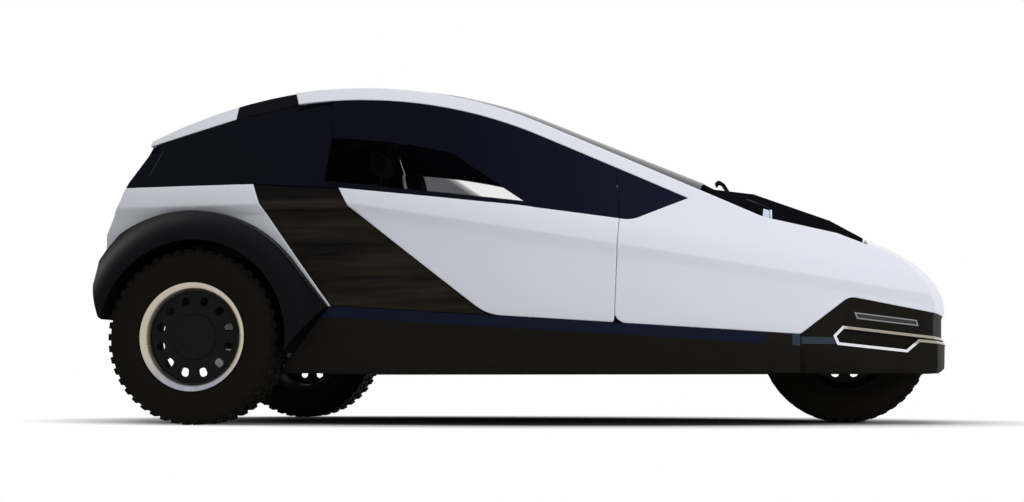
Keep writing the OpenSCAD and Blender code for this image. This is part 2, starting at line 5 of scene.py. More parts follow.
import bmesh
import bpy
import numpy as np
from bpy.props import FloatProperty, FloatVectorProperty, IntProperty, PointerProperty
from mathutils import Matrix, Vector
from mathutils.geometry import delaunay_2d_cdt

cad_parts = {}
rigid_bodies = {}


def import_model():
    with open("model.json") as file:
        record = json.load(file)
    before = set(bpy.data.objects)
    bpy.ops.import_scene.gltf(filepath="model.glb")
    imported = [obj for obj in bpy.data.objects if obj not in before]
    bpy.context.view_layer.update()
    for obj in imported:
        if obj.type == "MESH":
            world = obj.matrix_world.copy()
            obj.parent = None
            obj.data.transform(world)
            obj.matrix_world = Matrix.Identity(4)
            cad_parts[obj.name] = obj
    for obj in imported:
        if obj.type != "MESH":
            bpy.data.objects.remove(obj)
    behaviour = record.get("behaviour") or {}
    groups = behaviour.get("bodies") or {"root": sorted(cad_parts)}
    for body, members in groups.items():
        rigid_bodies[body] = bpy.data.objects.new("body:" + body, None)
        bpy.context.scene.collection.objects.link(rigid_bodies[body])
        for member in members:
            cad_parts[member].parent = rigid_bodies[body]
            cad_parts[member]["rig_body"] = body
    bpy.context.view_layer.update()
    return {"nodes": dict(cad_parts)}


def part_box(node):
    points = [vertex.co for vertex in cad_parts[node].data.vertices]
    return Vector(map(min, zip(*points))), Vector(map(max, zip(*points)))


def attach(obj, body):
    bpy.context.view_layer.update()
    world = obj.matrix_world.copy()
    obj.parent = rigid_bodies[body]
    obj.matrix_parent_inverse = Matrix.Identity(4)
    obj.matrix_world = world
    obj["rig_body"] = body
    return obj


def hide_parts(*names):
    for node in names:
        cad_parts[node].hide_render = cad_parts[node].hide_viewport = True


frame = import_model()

bl_info = {
    "name": "Three wheeled car",
    "version": (1, 0, 0),
    "blender": (4, 5, 0),
    "location": "3D View > Sidebar > Car",
    "description": "Panels, glass, wheels and cabin for the packed three wheeled car",
    "category": "Object",
}

MM = 0.001
TYRE_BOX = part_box("tyre_front")
SIDES = (("right", -1), ("left", 1))


class CarForm(bpy.types.PropertyGroup):
    """Sizes of the body that the panels are drawn on."""
    half_width: FloatProperty(name="Half width", description="Half of the body's width at its widest line",
                              default=0.8, unit="LENGTH")
    plan_radius: FloatProperty(name="Plan radius", description="Radius of the flank seen from above",
                               default=6.0, unit="LENGTH")
    widest: FloatProperty(name="Widest line", description="Place of the widest line along the car",
                          default=-0.6, unit="LENGTH")
    crease_tilt: FloatProperty(name="Crease tilt", description="How far the crease leans nose down",
                               default=math.radians(9), subtype="ANGLE")
    roof_height: FloatProperty(name="Rail height", description="Height of the roof rails' upper edge",
                               default=1.4, unit="LENGTH")
    rail_width: FloatProperty(name="Rail depth", description="Depth of the roof rail seen from the side",
                              default=0.058, unit="LENGTH")
    edge: FloatProperty(name="Edge rounding", description="Rounding of the panels' edges",
                        default=0.003, unit="LENGTH")


class CarWheel(bpy.types.PropertyGroup):
    """Sizes and counts of the wheels."""
    tyre_diameter: FloatProperty(name="Tyre diameter", description="Over the lugs",
                                 default=TYRE_BOX[1].z - TYRE_BOX[0].z, unit="LENGTH")
    tyre_width: FloatProperty(name="Tyre width", description="Over the side walls",
                              default=TYRE_BOX[1].y - TYRE_BOX[0].y, unit="LENGTH")
    rim_diameter: FloatProperty(name="Rim diameter", description="Over the polished lip",
                                default=0.436, unit="LENGTH")
    lugs: IntProperty(name="Lugs", description="Tread lugs round each shoulder", default=46)
    windows: IntProperty(name="Windows", description="Windows round each wheel disc", default=12)
    lug_depth: FloatProperty(name="Lug depth", description="Height of a tread lug",
                             default=0.0075, unit="LENGTH")


class CarColours(bpy.types.PropertyGroup):
    """Colours of the finishes."""
    paint: FloatVectorProperty(name="Paint", description="White body paint", subtype="COLOR",
                               default=(0.74, 0.765, 0.845))
    cladding: FloatVectorProperty(name="Cladding", description="Moulded black cladding", subtype="COLOR",
                                  default=(0.0085, 0.0076, 0.0060))
    gloss: FloatVectorProperty(name="Gloss black", description="Gloss black panels", subtype="COLOR",
                               default=(0.0034, 0.0034, 0.0056))
    glass: FloatVectorProperty(name="Glass", description="Dark band of the glass", subtype="COLOR",
                               default=(0.0030, 0.0034, 0.0090))
    brown: FloatVectorProperty(name="Brown", description="Streaks of the side pillar", subtype="COLOR",
                               default=(0.028, 0.0225, 0.0145))
    strip: FloatVectorProperty(name="Strip", description="Bluish chamfer of the sill", subtype="COLOR",
                               default=(0.0050, 0.0080, 0.021))
    bronze: FloatVectorProperty(name="Bronze", description="Strip beside the windscreen", subtype="COLOR",
                                default=(0.21, 0.165, 0.10))
    fabric: FloatVectorProperty(name="Fabric", description="Seat covers", subtype="COLOR",
                                default=(0.028, 0.028, 0.032))


class CarStage(bpy.types.PropertyGroup):
    """Camera and light."""
    lens: FloatProperty(name="Lens", description="Focal length for a 36 mm sensor", default=59.8)
    turn: FloatProperty(name="Turn", description="Camera heading, towards the tail",
                        default=math.radians(9.4), subtype="ANGLE")
    pitch: FloatProperty(name="Pitch", description="Camera pitch, upwards",
                         default=math.radians(4.4), subtype="ANGLE")
    sky: FloatProperty(name="Sky", description="Strength of the even light", default=0.22)
    top_lamp: FloatProperty(name="Top lamp", description="Power of the lamp overhead", default=165.0)
    side_lamp: FloatProperty(name="Side lamp", description="Power of the lamp ahead of the nose",
                             default=215.0)


# Shader building

class Signal:
    """One shader output; arithmetic on it adds Math nodes."""

    def __init__(self, finish, socket):
        self.finish = finish
        self.socket = socket

    def _math(self, operation, a, b=0.0, clamp=False):
        settings = {"operation": operation, "use_clamp": clamp}
        return self.finish.node("ShaderNodeMath", settings, {0: a, 1: b})

    def __add__(self, other):
        return self._math("ADD", self, other)

    def __sub__(self, other):
        return self._math("SUBTRACT", self, other)

    def __rsub__(self, other):
        return self._math("SUBTRACT", other, self)

    def __mul__(self, other):
        return self._math("MULTIPLY", self, other)

    def __truediv__(self, other):
        return self._math("DIVIDE", self, other)

    __radd__ = __add__

    def clamped(self):
        return self._math("ADD", self, 0.0, True)

    def sine(self):
        return self._math("SINE", self)

    def most(self, other):
        return self._math("MAXIMUM", self, other)

    def ramp(self, low, high):
        """0 at low, 1 at high."""
        return ((self - low) / (high - low)).clamped()


FINISHES = {}


class Finish:
    """A material with one Principled shader, kept in FINISHES under its key."""

    def __init__(self, key, name, **constants):
        self.material = FINISHES[key] = bpy.data.materials.new(name)
        self.material.use_nodes = True
        self.tree = self.material.node_tree
        self.shader = self.tree.nodes["Principled BSDF"]
        self.output = self.tree.nodes["Material Output"]
        self._place = None
        self.feed(**constants)

    def node(self, kind, settings=None, inputs=None, out=0):
        made = self.tree.nodes.new(kind)
        for key, value in (settings or {}).items():
            setattr(made, key, value)
        for key, value in (inputs or {}).items():
            self.put(made.inputs[key], value)
        return Signal(self, made.outputs[out])

    def put(self, socket, value):
        if isinstance(value, Signal):
            self.tree.links.new(value.socket, socket)
        elif hasattr(value, "__len__") and len(value) == 3 and socket.type == "RGBA":
            socket.default_value = (*value, 1.0)
        else:
            socket.default_value = value

    def feed(self, **signals):
        for socket, value in signals.items():
            self.put(self.shader.inputs[socket.replace("_", " ")], value)

    def place(self):
        if self._place is None:
            self._place = self.node("ShaderNodeTexCoord", out="Object")
        return self._place

    def axes(self):
        made = self.node("ShaderNodeSeparateXYZ", None, {0: self.place()}).socket.node
        return tuple(Signal(self, made.outputs[i]) for i in range(3))

    def stretched(self, scale):
        return self.node("ShaderNodeMapping", None, {"Vector": self.place(), "Scale": scale})

    def noise(self, scale, detail=3.0, rough=0.55, vector=None):
        inputs = {"Vector": vector or self.place(), "Scale": scale, "Detail": detail, "Roughness": rough}
        return self.node("ShaderNodeTexNoise", None, inputs)

    def cells(self, scale):
        return self.node("ShaderNodeTexVoronoi", None, {"Vector": self.place(), "Scale": scale})

    def flutes(self, axis, pace):
        return (self.axes()[axis] * pace).sine()

    def mix(self, share, a, b):
        return self.node("ShaderNodeMix", {"data_type": "RGBA"}, {0: share, 6: a, 7: b}, 2)

    def bump(self, height, strength, distance):
        self.feed(Normal=self.node("ShaderNodeBump", None,
                                   {"Strength": strength, "Distance": distance, "Height": height}))

    def blend(self, share, other):
        """Shows the other shader where share is 1."""
        own = Signal(self, self.shader.outputs[0])
        mixed = self.node("ShaderNodeMixShader", None, {0: share, 1: own, 2: other})
        self.tree.links.new(mixed.socket, self.output.inputs["Surface"])


def shade(colour, factor):
    return tuple(min(1.0, c * factor) for c in colour)


# Edges of the clear field that the dark print leaves in the side glass, in metres:
# a place along the car, the height there and how the edge falls from it
FIELD_BACK, FIELD_EDGE = -0.752, 0.004
FIELD_FLOOR, FIELD_SLOPE = (-0.4, 0.938, 0.112), (-0.153, 1.035, 0.676)
FIELD_ARC, FIELD_BOW = (-0.78, 1.172, 0.04), 0.178
PANE_AT, PANE_LEAN = (-0.515, 1.154), 1.5
# Painted highlight, a pale line where the side glass meets the hatch: foot, height and lean
HIGHLIGHT_AT, HIGHLIGHT_HIGH, HIGHLIGHT_LEAN = (-1.528, 1.024), 0.116, 0.035
# Lower and upper edges of the pillar's brown band
BAND = ((0.862, 0.874), (0.892, 0.906))
# The sill's bluish chamfer: its depth, and the gap in it near the bumper
STRIP_DEPTH, STRIP_GAP = (-0.047, -0.044), ((1.0, 1.006), (1.105, 1.11))
DRAWN_OUT = (0.1, 1.0, 1.0)


def wavering(key, name, noise, tones, rough, bump=None, stretch=None, **constants):
    """A finish whose tone and roughness follow one noise; bump is (scale, detail, strength, distance)."""
    f = Finish(key, name, **constants)
    cast = f.noise(*noise, vector=f.stretched(stretch) if stretch else None)
    f.feed(Base_Color=f.mix(cast, *tones), Roughness=rough[0] + cast * rough[1])
    if bump:
        f.bump(f.noise(*bump[:2]), *bump[2:])


def make_finishes(colours):
    make_body_finishes(colours)
    make_glass(tuple(colours.glass))
    make_lamp_finishes()
    make_cabin_finishes(tuple(colours.fabric))
    bronze = tuple(colours.bronze)
    wavering("bronze", "bronze strip", (120.0, 3.0, 0.5), (shade(bronze, 0.75), shade(bronze, 1.2)),
             (0.3, 0.15), None, DRAWN_OUT, Metallic=0.75)
    wavering("disc", "wheel disc black", (55.0, 5.0), ((0.004, 0.004, 0.0042), (0.008, 0.008, 0.0085)),
             (0.4, 0.2), (700.0, 2.0, 0.12, 0.0004), Specular_IOR_Level=0.08)
    wavering("rubber", "tyre rubber", (26.0, 5.0), ((0.0052, 0.0047, 0.0034), (0.0105, 0.0095, 0.0070)),
             (0.62, 0.22), (520.0, 3.0, 0.1, 0.0005), Specular_IOR_Level=0.05)
    wavering("steel", "painted steel", (34.0, 5.0), ((0.022, 0.023, 0.025), (0.05, 0.05, 0.054)),
             (0.45, 0.2), (520.0, 3.0, 0.12, 0.0005), Coat_Weight=0.2, Coat_Roughness=0.3)
    wavering("alloy", "cast alloy", (300.0, 4.0), ((0.22, 0.225, 0.235), (0.36, 0.365, 0.375)),
             (0.45, 0.2), (300.0, 4.0, 0.3, 0.0008), Metallic=0.9)

    f = Finish("bright", "bright trim", Metallic=1.0)
    brush = f.noise(260.0, 4.0, 0.6, f.stretched((0.06, 1.0, 1.0)))
    # The intake frame's upper rail is browner than its tip and lower rail
    x, _, z = f.axes()
    upper = (z - 0.352 + (x - 1.29) * 0.11).ramp(0.0, 0.01) * x.ramp(1.30, 1.33)
    pale = f.mix(brush, (0.70, 0.71, 0.76), (0.82, 0.83, 0.87))
    f.feed(Base_Color=f.mix(upper, pale, f.mix(brush, (0.30, 0.27, 0.22), (0.42, 0.38, 0.32))),
           Roughness=0.14 + brush * 0.14)

    # Cool below and warm above: the warm tone is the metal's own, the cooler, darker tone below is a painted
    # reflection
    f = Finish("rim", "polished rim", Metallic=1.0)
    turned = f.noise(60.0, 3.0, 0.5, f.stretched((1.0, 0.1, 1.0)))
    warm = f.mix(turned, (0.48, 0.425, 0.345), (0.56, 0.50, 0.41))
    painted_reflection_tone = f.mix(turned, (0.24, 0.25, 0.30), (0.42, 0.43, 0.49))
    f.feed(Base_Color=f.mix(f.axes()[2].ramp(0.17, 0.27), painted_reflection_tone, warm), Roughness=0.24 + turned * 0.08)


def make_body_finishes(colours):
    paint, gloss, clad = tuple(colours.paint), tuple(colours.gloss), tuple(colours.cladding)
    f = Finish("paint", "white paint", Coat_Weight=0.35, Coat_Roughness=0.06, IOR=1.45)
    low = 1 - f.axes()[2].ramp(0.36, 0.62)
    dust = (low * f.noise(22.0, 4.0) * 0.5).clamped()
    clean = f.mix(f.noise(1.7, 3.0), shade(paint, 0.985), shade(paint, 1.015))
    f.feed(Base_Color=f.mix(dust, clean, shade(paint, 0.86)),
           Roughness=0.30 + f.noise(9.0, 3.0) * 0.08 + dust * 0.2)
    f.bump(f.noise(420.0, 2.0), 0.02, 0.0004)

    f = Finish("gloss", "gloss black", IOR=1.5, Specular_IOR_Level=0.03)
    f.feed(Base_Color=f.mix(f.noise(3.0, 2.0), shade(gloss, 0.8), shade(gloss, 1.3)),
           Roughness=0.16 + f.noise(30.0, 4.0) * 0.12)
    f.bump(f.noise(300.0, 2.0), 0.03, 0.0005)

    f = Finish("streaked", "streaked black", IOR=1.5, Specular_IOR_Level=0.03)
    z = f.axes()[2]
    streak = f.noise(30.0, 4.0, 0.6, f.stretched((0.07, 1.0, 1.0)))
    band = z.ramp(*BAND[0]) * (1 - z.ramp(*BAND[1]))
    share = (streak.ramp(0.25, 0.70) * (1 - z.ramp(0.80, 0.98)) + band * 0.9).clamped()
    f.feed(Base_Color=f.mix(share, shade(gloss, 0.55), tuple(colours.brown)), Roughness=0.22 + streak * 0.2)

    f = Finish("cladding", "moulded cladding", IOR=1.45, Specular_IOR_Level=0.05)
    grain = f.cells(900.0)
    worn = f.noise(14.0, 5.0)
    f.feed(Base_Color=f.mix(worn, shade(clad, 0.75), shade(clad, 1.45)),
           Roughness=0.42 + worn * 0.14 + grain * 0.1)
    f.bump(grain * 0.7 + f.noise(1400.0, 2.0) * 0.3, 0.12, 0.0003)

    wavering("flare", "flare black", (6.0, 3.0), ((0.0016, 0.0018, 0.0028), (0.0026, 0.0028, 0.0042)),
             (0.3, 0.1), (900.0, 2.0, 0.04, 0.0003), IOR=1.5, Specular_IOR_Level=0.06)
    wavering("strip", "bluish strip", (30.0, 3.0, 0.5), ((0.026, 0.038, 0.052), (0.036, 0.050, 0.066)),
             (0.3, 0.2), None, DRAWN_OUT, IOR=1.5, Specular_IOR_Level=0.1)

    f = Finish("sill", "sill facing", IOR=1.5, Specular_IOR_Level=0.04)
    x, _, z = f.axes()
    streak = f.noise(40.0, 4.0, 0.6, f.stretched((0.08, 1.0, 1.0)))
    drop = z - SILL_TOP[1] * MM + (x - SILL_TOP[0] * MM) * math.tan(SILL_LEAN)
    strip = drop.ramp(*STRIP_DEPTH) * (1 - x.ramp(*STRIP_GAP[0])).most(x.ramp(*STRIP_GAP[1]))
    bluish = f.mix(x.ramp(1.05, 1.06), tuple(colours.strip), (0.030, 0.043, 0.058))
    f.feed(Base_Color=f.mix(strip, f.mix(streak, shade(clad, 0.7), shade(clad, 1.3)), bluish),
           Roughness=0.34 + streak * 0.2)
    f.bump(f.noise(900.0, 2.0), 0.06, 0.0003)


def make_glass(tint):
    f = Finish("glass", "tinted glass", IOR=1.5, Specular_IOR_Level=0.02)
    x, _, z = f.axes()
    depth = f.mix(f.noise(2.5, 2.0), shade(tint, 0.85), shade(tint, 1.25))
    # Painted light: the glass is painted lighter towards the front
    depth = f.mix(x.ramp(-0.3, 0.75), depth, shade(tint, 2.9))
    # Painted highlight: a pale line along the glass where it meets the hatch
    along = (z - HIGHLIGHT_AT[1]) / HIGHLIGHT_HIGH
    off = x - HIGHLIGHT_AT[0] - along * HIGHLIGHT_LEAN
    line = (off * off * -200000.0 + 1.0).clamped() * (along.ramp(0.0, 0.08) * (1 - along.ramp(0.92, 1.0)))
    f.feed(Base_Color=f.mix(line * 0.8, depth, (0.05, 0.05, 0.075)),
           Roughness=0.02 + f.noise(60.0, 4.0) * 0.03)

    def edge(at):
        """Height of z over the falling line."""
        return z - at[1] + (x - at[0]) * at[2]

    bow = x - FIELD_ARC[0]
    field = (x - FIELD_BACK).ramp(0.0, 0.006)
    for room in (edge(FIELD_FLOOR), 0 - edge(FIELD_SLOPE), 0 - edge(FIELD_ARC) - bow * bow * FIELD_BOW):
        field = field * room.ramp(0.0, FIELD_EDGE)
    pane = f.mix((x - PANE_AT[0] + (z - PANE_AT[1]) * PANE_LEAN).ramp(0.0, 0.02),
                 (0.33, 0.33, 0.345), (0.96, 0.96, 0.96))
    clear = f.node("ShaderNodeBsdfPrincipled", None,
                   {"Base Color": pane, "Transmission Weight": 1.0, "Roughness": 0.0, "IOR": 1.04})
    f.blend(field * 0.97, clear)


def make_lamp_finishes():
    # The lens's faint pale blue glow is a painted glint
    f = Finish("lens", "lamp lens", Roughness=0.04, IOR=1.45, Emission_Strength=0.2)
    f.feed(Base_Color=f.mix(f.flutes(1, 900.0) * 0.5 + 0.5, (0.62, 0.72, 0.9), (0.9, 0.95, 1.0)),
           Emission_Color=f.mix(f.noise(40.0), (0.55, 0.7, 1.0), (0.8, 0.9, 1.0)))

    f = Finish("slot", "slot lamp", Roughness=0.1, IOR=1.5, Specular_IOR_Level=0.4)
    f.feed(Base_Color=f.mix(f.flutes(0, 700.0) * 0.5 + 0.5, (0.012, 0.012, 0.012), (0.03, 0.029, 0.027)))

    f = Finish("red", "red lens", Roughness=0.06, IOR=1.5, Coat_Weight=1.0)
    rib = f.flutes(1, 420.0)
    f.feed(Base_Color=f.mix(rib * 0.5 + 0.5, (0.16, 0.006, 0.010), (0.34, 0.012, 0.018)))
    f.bump(rib, 0.2, 0.001)


def make_cabin_finishes(fabric):
    f = Finish("trim", "cabin trim")
    pores = f.cells(650.0)
    f.feed(Base_Color=f.mix(f.noise(12.0, 4.0), (0.012, 0.012, 0.013), (0.024, 0.024, 0.026)),
           Roughness=0.55 + pores * 0.2)
    f.bump(pores, 0.3, 0.0005)

    f = Finish("carpet", "cabin carpet")
    tuft = f.cells(420.0)
    f.feed(Base_Color=f.mix(tuft * 1.4, (0.010, 0.010, 0.011), (0.030, 0.030, 0.033)),
           Roughness=0.85 + tuft * 0.1)
    f.bump(tuft + f.noise(900.0, 3.0), 0.6, 0.002)

    f = Finish("cloth", "seat cloth", Sheen_Weight=0.3, Sheen_Roughness=0.4)
    x, y, z = f.axes()
    weave = ((y * 2600.0).sine() * ((x + z) * 2600.0).sine()) * 0.5 + 0.5
    fuzz = f.noise(180.0, 4.0)
    f.feed(Base_Color=f.mix(weave * 0.6 + fuzz * 0.4, shade(fabric, 0.6), shade(fabric, 1.5)),
           Roughness=0.75 + fuzz * 0.2)
    f.bump(weave + fuzz * 0.5, 0.35, 0.0006)


# Mesh building, in millimetres on the car's own axes

CORNER_STEPS, FILL_MARGIN, TINY = 6, 0.4, 1e-6
DRESS_MERGE, DRESS_FLAT = 2e-5, math.radians(1.0)


def round_corner(p, v, q, r):
    """Points of the arc that rounds the corner v between p and q."""
    p, v, q = Vector(p[:2]), Vector(v[:2]), Vector(q[:2])
    if r <= 0:
        return [tuple(v)]
    a, b = (p - v).normalized(), (q - v).normalized()
    half = math.acos(max(-1, min(1, a.dot(b)))) / 2
    centre = v + (a + b).normalized() * (r / math.sin(half))
    start, end = v + a * (r / math.tan(half)) - centre, v + b * (r / math.tan(half)) - centre
    a0, a1 = math.atan2(start.y, start.x), math.atan2(end.y, end.x)
    sweep = (a1 - a0 + math.pi) % (2 * math.pi) - math.pi
    turns = [a0 + sweep * i / CORNER_STEPS for i in range(CORNER_STEPS + 1)]
    return [tuple(centre + r * Vector((math.cos(a), math.sin(a)))) for a in turns]


def rounded(rows):
    """Outline from rows of (x, z, corner radius)."""
    n = len(rows)
    return [p for i, row in enumerate(rows)
            for p in round_corner(rows[i - 1], row, rows[(i + 1) % n], row[2])]


def box(u0, u1, v0, v1):
    return [(u0, v0), (u1, v0), (u1, v1), (u0, v1)]


def circle(radius, n):
    return [(radius * math.cos(a), radius * math.sin(a)) for a in (2 * math.pi * i / n for i in range(n))]


def shrink(ring, d):
    """The outline moved inwards by d."""
    pts = [Vector(p) for p in ring]
    pts = [p for i, p in enumerate(pts) if (p - pts[i - 1]).length > TINY]
    area = sum(a.x * b.y - b.x * a.y for a, b in zip(pts, pts[1:] + pts[:1]))
    sign = 1 if area > 0 else -1
    out = []
    n = len(pts)
    for i, p in enumerate(pts):
        e0, e1 = (p - pts[i - 1]).normalized(), (pts[(i + 1) % n] - p).normalized()
        n0, n1 = Vector((-e0.y, e0.x)) * sign, Vector((-e1.y, e1.x)) * sign
        m = n0 + n1
        m = n0 if m.length < TINY else m.normalized()
        out.append(tuple(p + m * (d / max(0.35, m.dot(n0)))))
    return out


def resample(ring, step):
    """The outline with points no further apart than step."""
    out = []
    for a, b in zip(ring, ring[1:] + ring[:1]):
        a, b = Vector(a), Vector(b)
        n = max(1, math.ceil((b - a).length / step))
        if (b - a).length > 1e-4:
            out += [a.lerp(b, i / n) for i in range(n)]
    return out


def inside(points, ring, margin):
    """Those points that lie inside the ring and clear of it."""
    p, a = np.array(points), np.array([tuple(r) for r in ring])
    b = np.roll(a, -1, 0)
    d = b - a
    spans = (a[:, 1] > p[:, 1:]) != (b[:, 1] > p[:, 1:])
    cross = a[:, 0] + (p[:, 1:] - a[:, 1]) * d[:, 0] / np.where(abs(d[:, 1]) < 1e-12, 1e-12, d[:, 1])
    within = (spans & (p[:, :1] < cross)).sum(1) % 2 == 1
    t = np.clip(((p[:, None] - a) * d).sum(2) / (d * d).sum(1), 0, 1)
    away = np.linalg.norm(p[:, None] - a - t[..., None] * d, axis=2).min(1)
    return p[within & (away > margin)]


def fill(loops, step, rows=()):
    """Triangles inside flat loops: (points, faces, each loop's own points). Later loops are holes."""
    ring = np.array([tuple(p) for p in loops[0]])
    low, high = ring.min(0), ring.max(0)
    us = np.arange(low[0] + step * 0.5, high[0], step)
    vs = [v for v in np.arange(low[1] + step * 0.5, high[1], step)
          if all(abs(v - r) > step * 0.35 for r in rows)]
    vs += [r for r in rows if low[1] < r < high[1]]
    grid = [(u, v) for v in vs for u in us]
    clear = step * FILL_MARGIN
    kept = inside(grid, ring, clear) if grid else []
    for hole in loops[1:]:
        if len(kept):
            near = {tuple(k) for k in inside(kept, hole, -1)}
            edge = np.array([tuple(p) for p in hole])
            kept = np.array([k for k in kept if tuple(k) not in near
                             and np.linalg.norm(edge - k, axis=1).min() > clear])
    points, edges, spans = [], [], []
    for loop in loops:
        first = len(points)
        points += [Vector(p) for p in loop]
        spans.append(range(first, len(points)))
        edges += [(first + i, first + (i + 1) % len(loop)) for i in range(len(loop))]
    points += [Vector((k[0], k[1])) for k in kept]
    flat, _, faces, origin, *_ = delaunay_2d_cdt(points, edges, [], 0, 1e-4)
    spots = np.array([tuple(sum((flat[i] for i in face), Vector((0, 0))) / len(face)) for face in faces])
    for k, loop in enumerate(loops):
        hit = {tuple(p) for p in inside(spots, loop, -1)}
        flag = np.array([tuple(spot) in hit for spot in spots])
        mark = flag if k == 0 else mark & ~flag
    faces = [tuple(face) for face, m in zip(faces, mark) if m]
    now = {source: i for i, sources in enumerate(origin) for source in sources}
    return [tuple(p) for p in flat], faces, [[now[i] for i in span] for span in spans]


def new_piece(name, verts, faces, finishes, tags=None, scale=MM):
    mesh = bpy.data.meshes.new(name)
    mesh.from_pydata([tuple(c * scale for c in v) for v in verts], [], faces)
    for finish in finishes if isinstance(finishes, (list, tuple)) else [finishes]:
        mesh.materials.append(FINISHES[finish])
    if tags:
        mesh.polygons.foreach_set("material_index", tags)
    piece = bpy.data.objects.new(name, mesh)
    bpy.context.scene.collection.objects.link(piece)
    return piece


def outward(piece, merge=0.0):
    """Merges doubles and points every face outwards."""
    bm = bmesh.new()
    bm.from_mesh(piece.data)
    if merge:
        bmesh.ops.remove_doubles(bm, verts=bm.verts, dist=merge)
    bmesh.ops.recalc_face_normals(bm, faces=bm.faces)
    bm.to_mesh(piece.data)
    bm.free()
    return piece


def bake(piece):
    """Makes the modifiers' result the piece's own plain mesh."""
    graph = bpy.context.evaluated_depsgraph_get()
    graph.update()
    made = bpy.data.meshes.new_from_object(piece.evaluated_get(graph))
    piece.modifiers.clear()
    old, piece.data = piece.data, made
    made.name = piece.name
    bpy.data.meshes.remove(old)
    return piece


def soften(piece, width, segments=2, angle=38.0, sharp=42.0):
    """Rounds the edges and shades the rest smooth."""
    if width > 0:
        bevel = piece.modifiers.new("round", "BEVEL")
        bevel.width, bevel.segments, bevel.limit_method = width, segments, "ANGLE"
        bevel.angle_limit = math.radians(angle)
        bevel.harden_normals = True
        bake(piece)
    piece.data.polygons.foreach_set("use_smooth", [True] * len(piece.data.polygons))
    piece.data.set_sharp_from_angle(angle=math.radians(sharp))
    return piece


def settle(piece, body, nodes=()):
    """Puts the piece on its body, in place of the named nodes."""
    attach(piece, body)
    if nodes:
        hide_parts(*nodes)
    return piece


def shell(name, rings, outer, inner, finishes, step, rows=(), width=None):
    """A closed panel between two surfaces over a flat outline, its edge rounded. Later rings are holes."""
    edge = bpy.context.scene.car_form.edge / MM if width is None else width
    bases = [resample(ring, step * 0.7) for ring in rings]

    def moved(inset):
        return [shrink(base, inset if k == 0 else -inset) for k, base in enumerate(bases)]

    flat, faces, borders = fill(moved(edge + min(edge, 3)) if edge else bases, step, rows)
    n = len(flat)
    verts = [outer(*p) for p in flat] + [inner(*p) for p in flat]
    made = faces + [tuple(i + n for i in reversed(face)) for face in faces]
    chains = [[border] for border in borders]

    def add_loops(inset, depth):
        for chain, loop in zip(chains, moved(inset)):
            chain.append(list(range(len(verts), len(verts) + len(loop))))
            for p in loop:
                top, low = Vector(outer(*p)), Vector(inner(*p))
                verts.append(tuple(low if depth is None else top + (low - top).normalized() * depth))

    if edge:
        for turn in (0, math.pi / 6, math.pi / 3, math.pi / 2):
            add_loops(edge * (1 - math.sin(turn)), edge * (1 - math.cos(turn)))
        add_loops(0, None)
    for chain, border in zip(chains, borders):
        chain.append([i + n for i in border])
        for a, b in zip(chain, chain[1:]):
            made += [(a[i - 1], a[i], b[i], b[i - 1]) for i in range(len(a))]
    back = 1 if isinstance(finishes, tuple) else 0
    tags = [0] * len(faces) + [back] * len(faces) + [0] * (len(made) - 2 * len(faces))
    used = sorted({i for face in made for i in face})
    place = {i: k for k, i in enumerate(used)}
    made = [tuple(place[i] for i in face) for face in made]
    return soften(outward(new_piece(name, [verts[i] for i in used], made, finishes, tags)), 0)


def lathe(name, rows, finish, turns, tags=None, closed=True):
    """A profile of (radius, offset along the axle) turned about the Y axis."""
    verts, faces, marks = [], [], []
    n = len(rows)
    for i in range(turns):
        a = 2 * math.pi * i / turns
        verts += [(r * math.cos(a), y, r * math.sin(a)) for r, y in rows]
    for i in range(turns):
        for j in range(n if closed else n - 1):
            k = (j + 1) % n
            i2 = (i + 1) % turns
            faces.append((i * n + j, i * n + k, i2 * n + k, i2 * n + j))
            marks.append(tags[j] if tags else 0)
    return soften(outward(new_piece(name, verts, faces, finish, marks), TINY), 0, sharp=32.0)


def tube(name, ends, radius, finish, sides):
    """A round bar between two points, in millimetres."""
    a, b = Vector(ends[0]), Vector(ends[1])
    along = (b - a).normalized()
    side = along.cross(Vector((0.13, 0.97, 0.21))).normalized()
    top = side.cross(along)
    verts = [tuple(p + side * u * radius + top * v * radius) for p in (a, b) for u, v in circle(1, sides)]
    faces = [(k, (k + 1) % sides, (k + 1) % sides + sides, k + sides) for k in range(sides)]
    faces += [tuple(reversed(range(sides))), tuple(range(sides, 2 * sides))]
    return soften(outward(new_piece(name, verts, faces, finish)), 0)


def prism(name, outline, y0, y1, finish, width=None, step=60):
    """A side outline drawn through from y0 to y1."""
    return shell(name, [outline], lambda x, z: (x, y0, z), lambda x, z: (x, y1, z), finish, step, (), width)


def dress(node, finish, width=2.0, name=None):
    """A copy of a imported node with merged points, rounded edges and a finish, in the node's place."""
    source = frame["nodes"][node]
    mesh = source.data.copy()
    mesh.materials.clear()
    mesh.materials.append(FINISHES[finish])
    piece = bpy.data.objects.new(name or node + "_skin", mesh)
    bpy.context.scene.collection.objects.link(piece)
    bm = bmesh.new()
    bm.from_mesh(mesh)
    bmesh.ops.remove_doubles(bm, verts=bm.verts, dist=DRESS_MERGE)
    bmesh.ops.dissolve_limit(bm, angle_limit=DRESS_FLAT, verts=bm.verts, edges=bm.edges)
    bm.to_mesh(mesh)
    bm.free()
    soften(piece, width * MM)
    return settle(piece, source["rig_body"], [node])


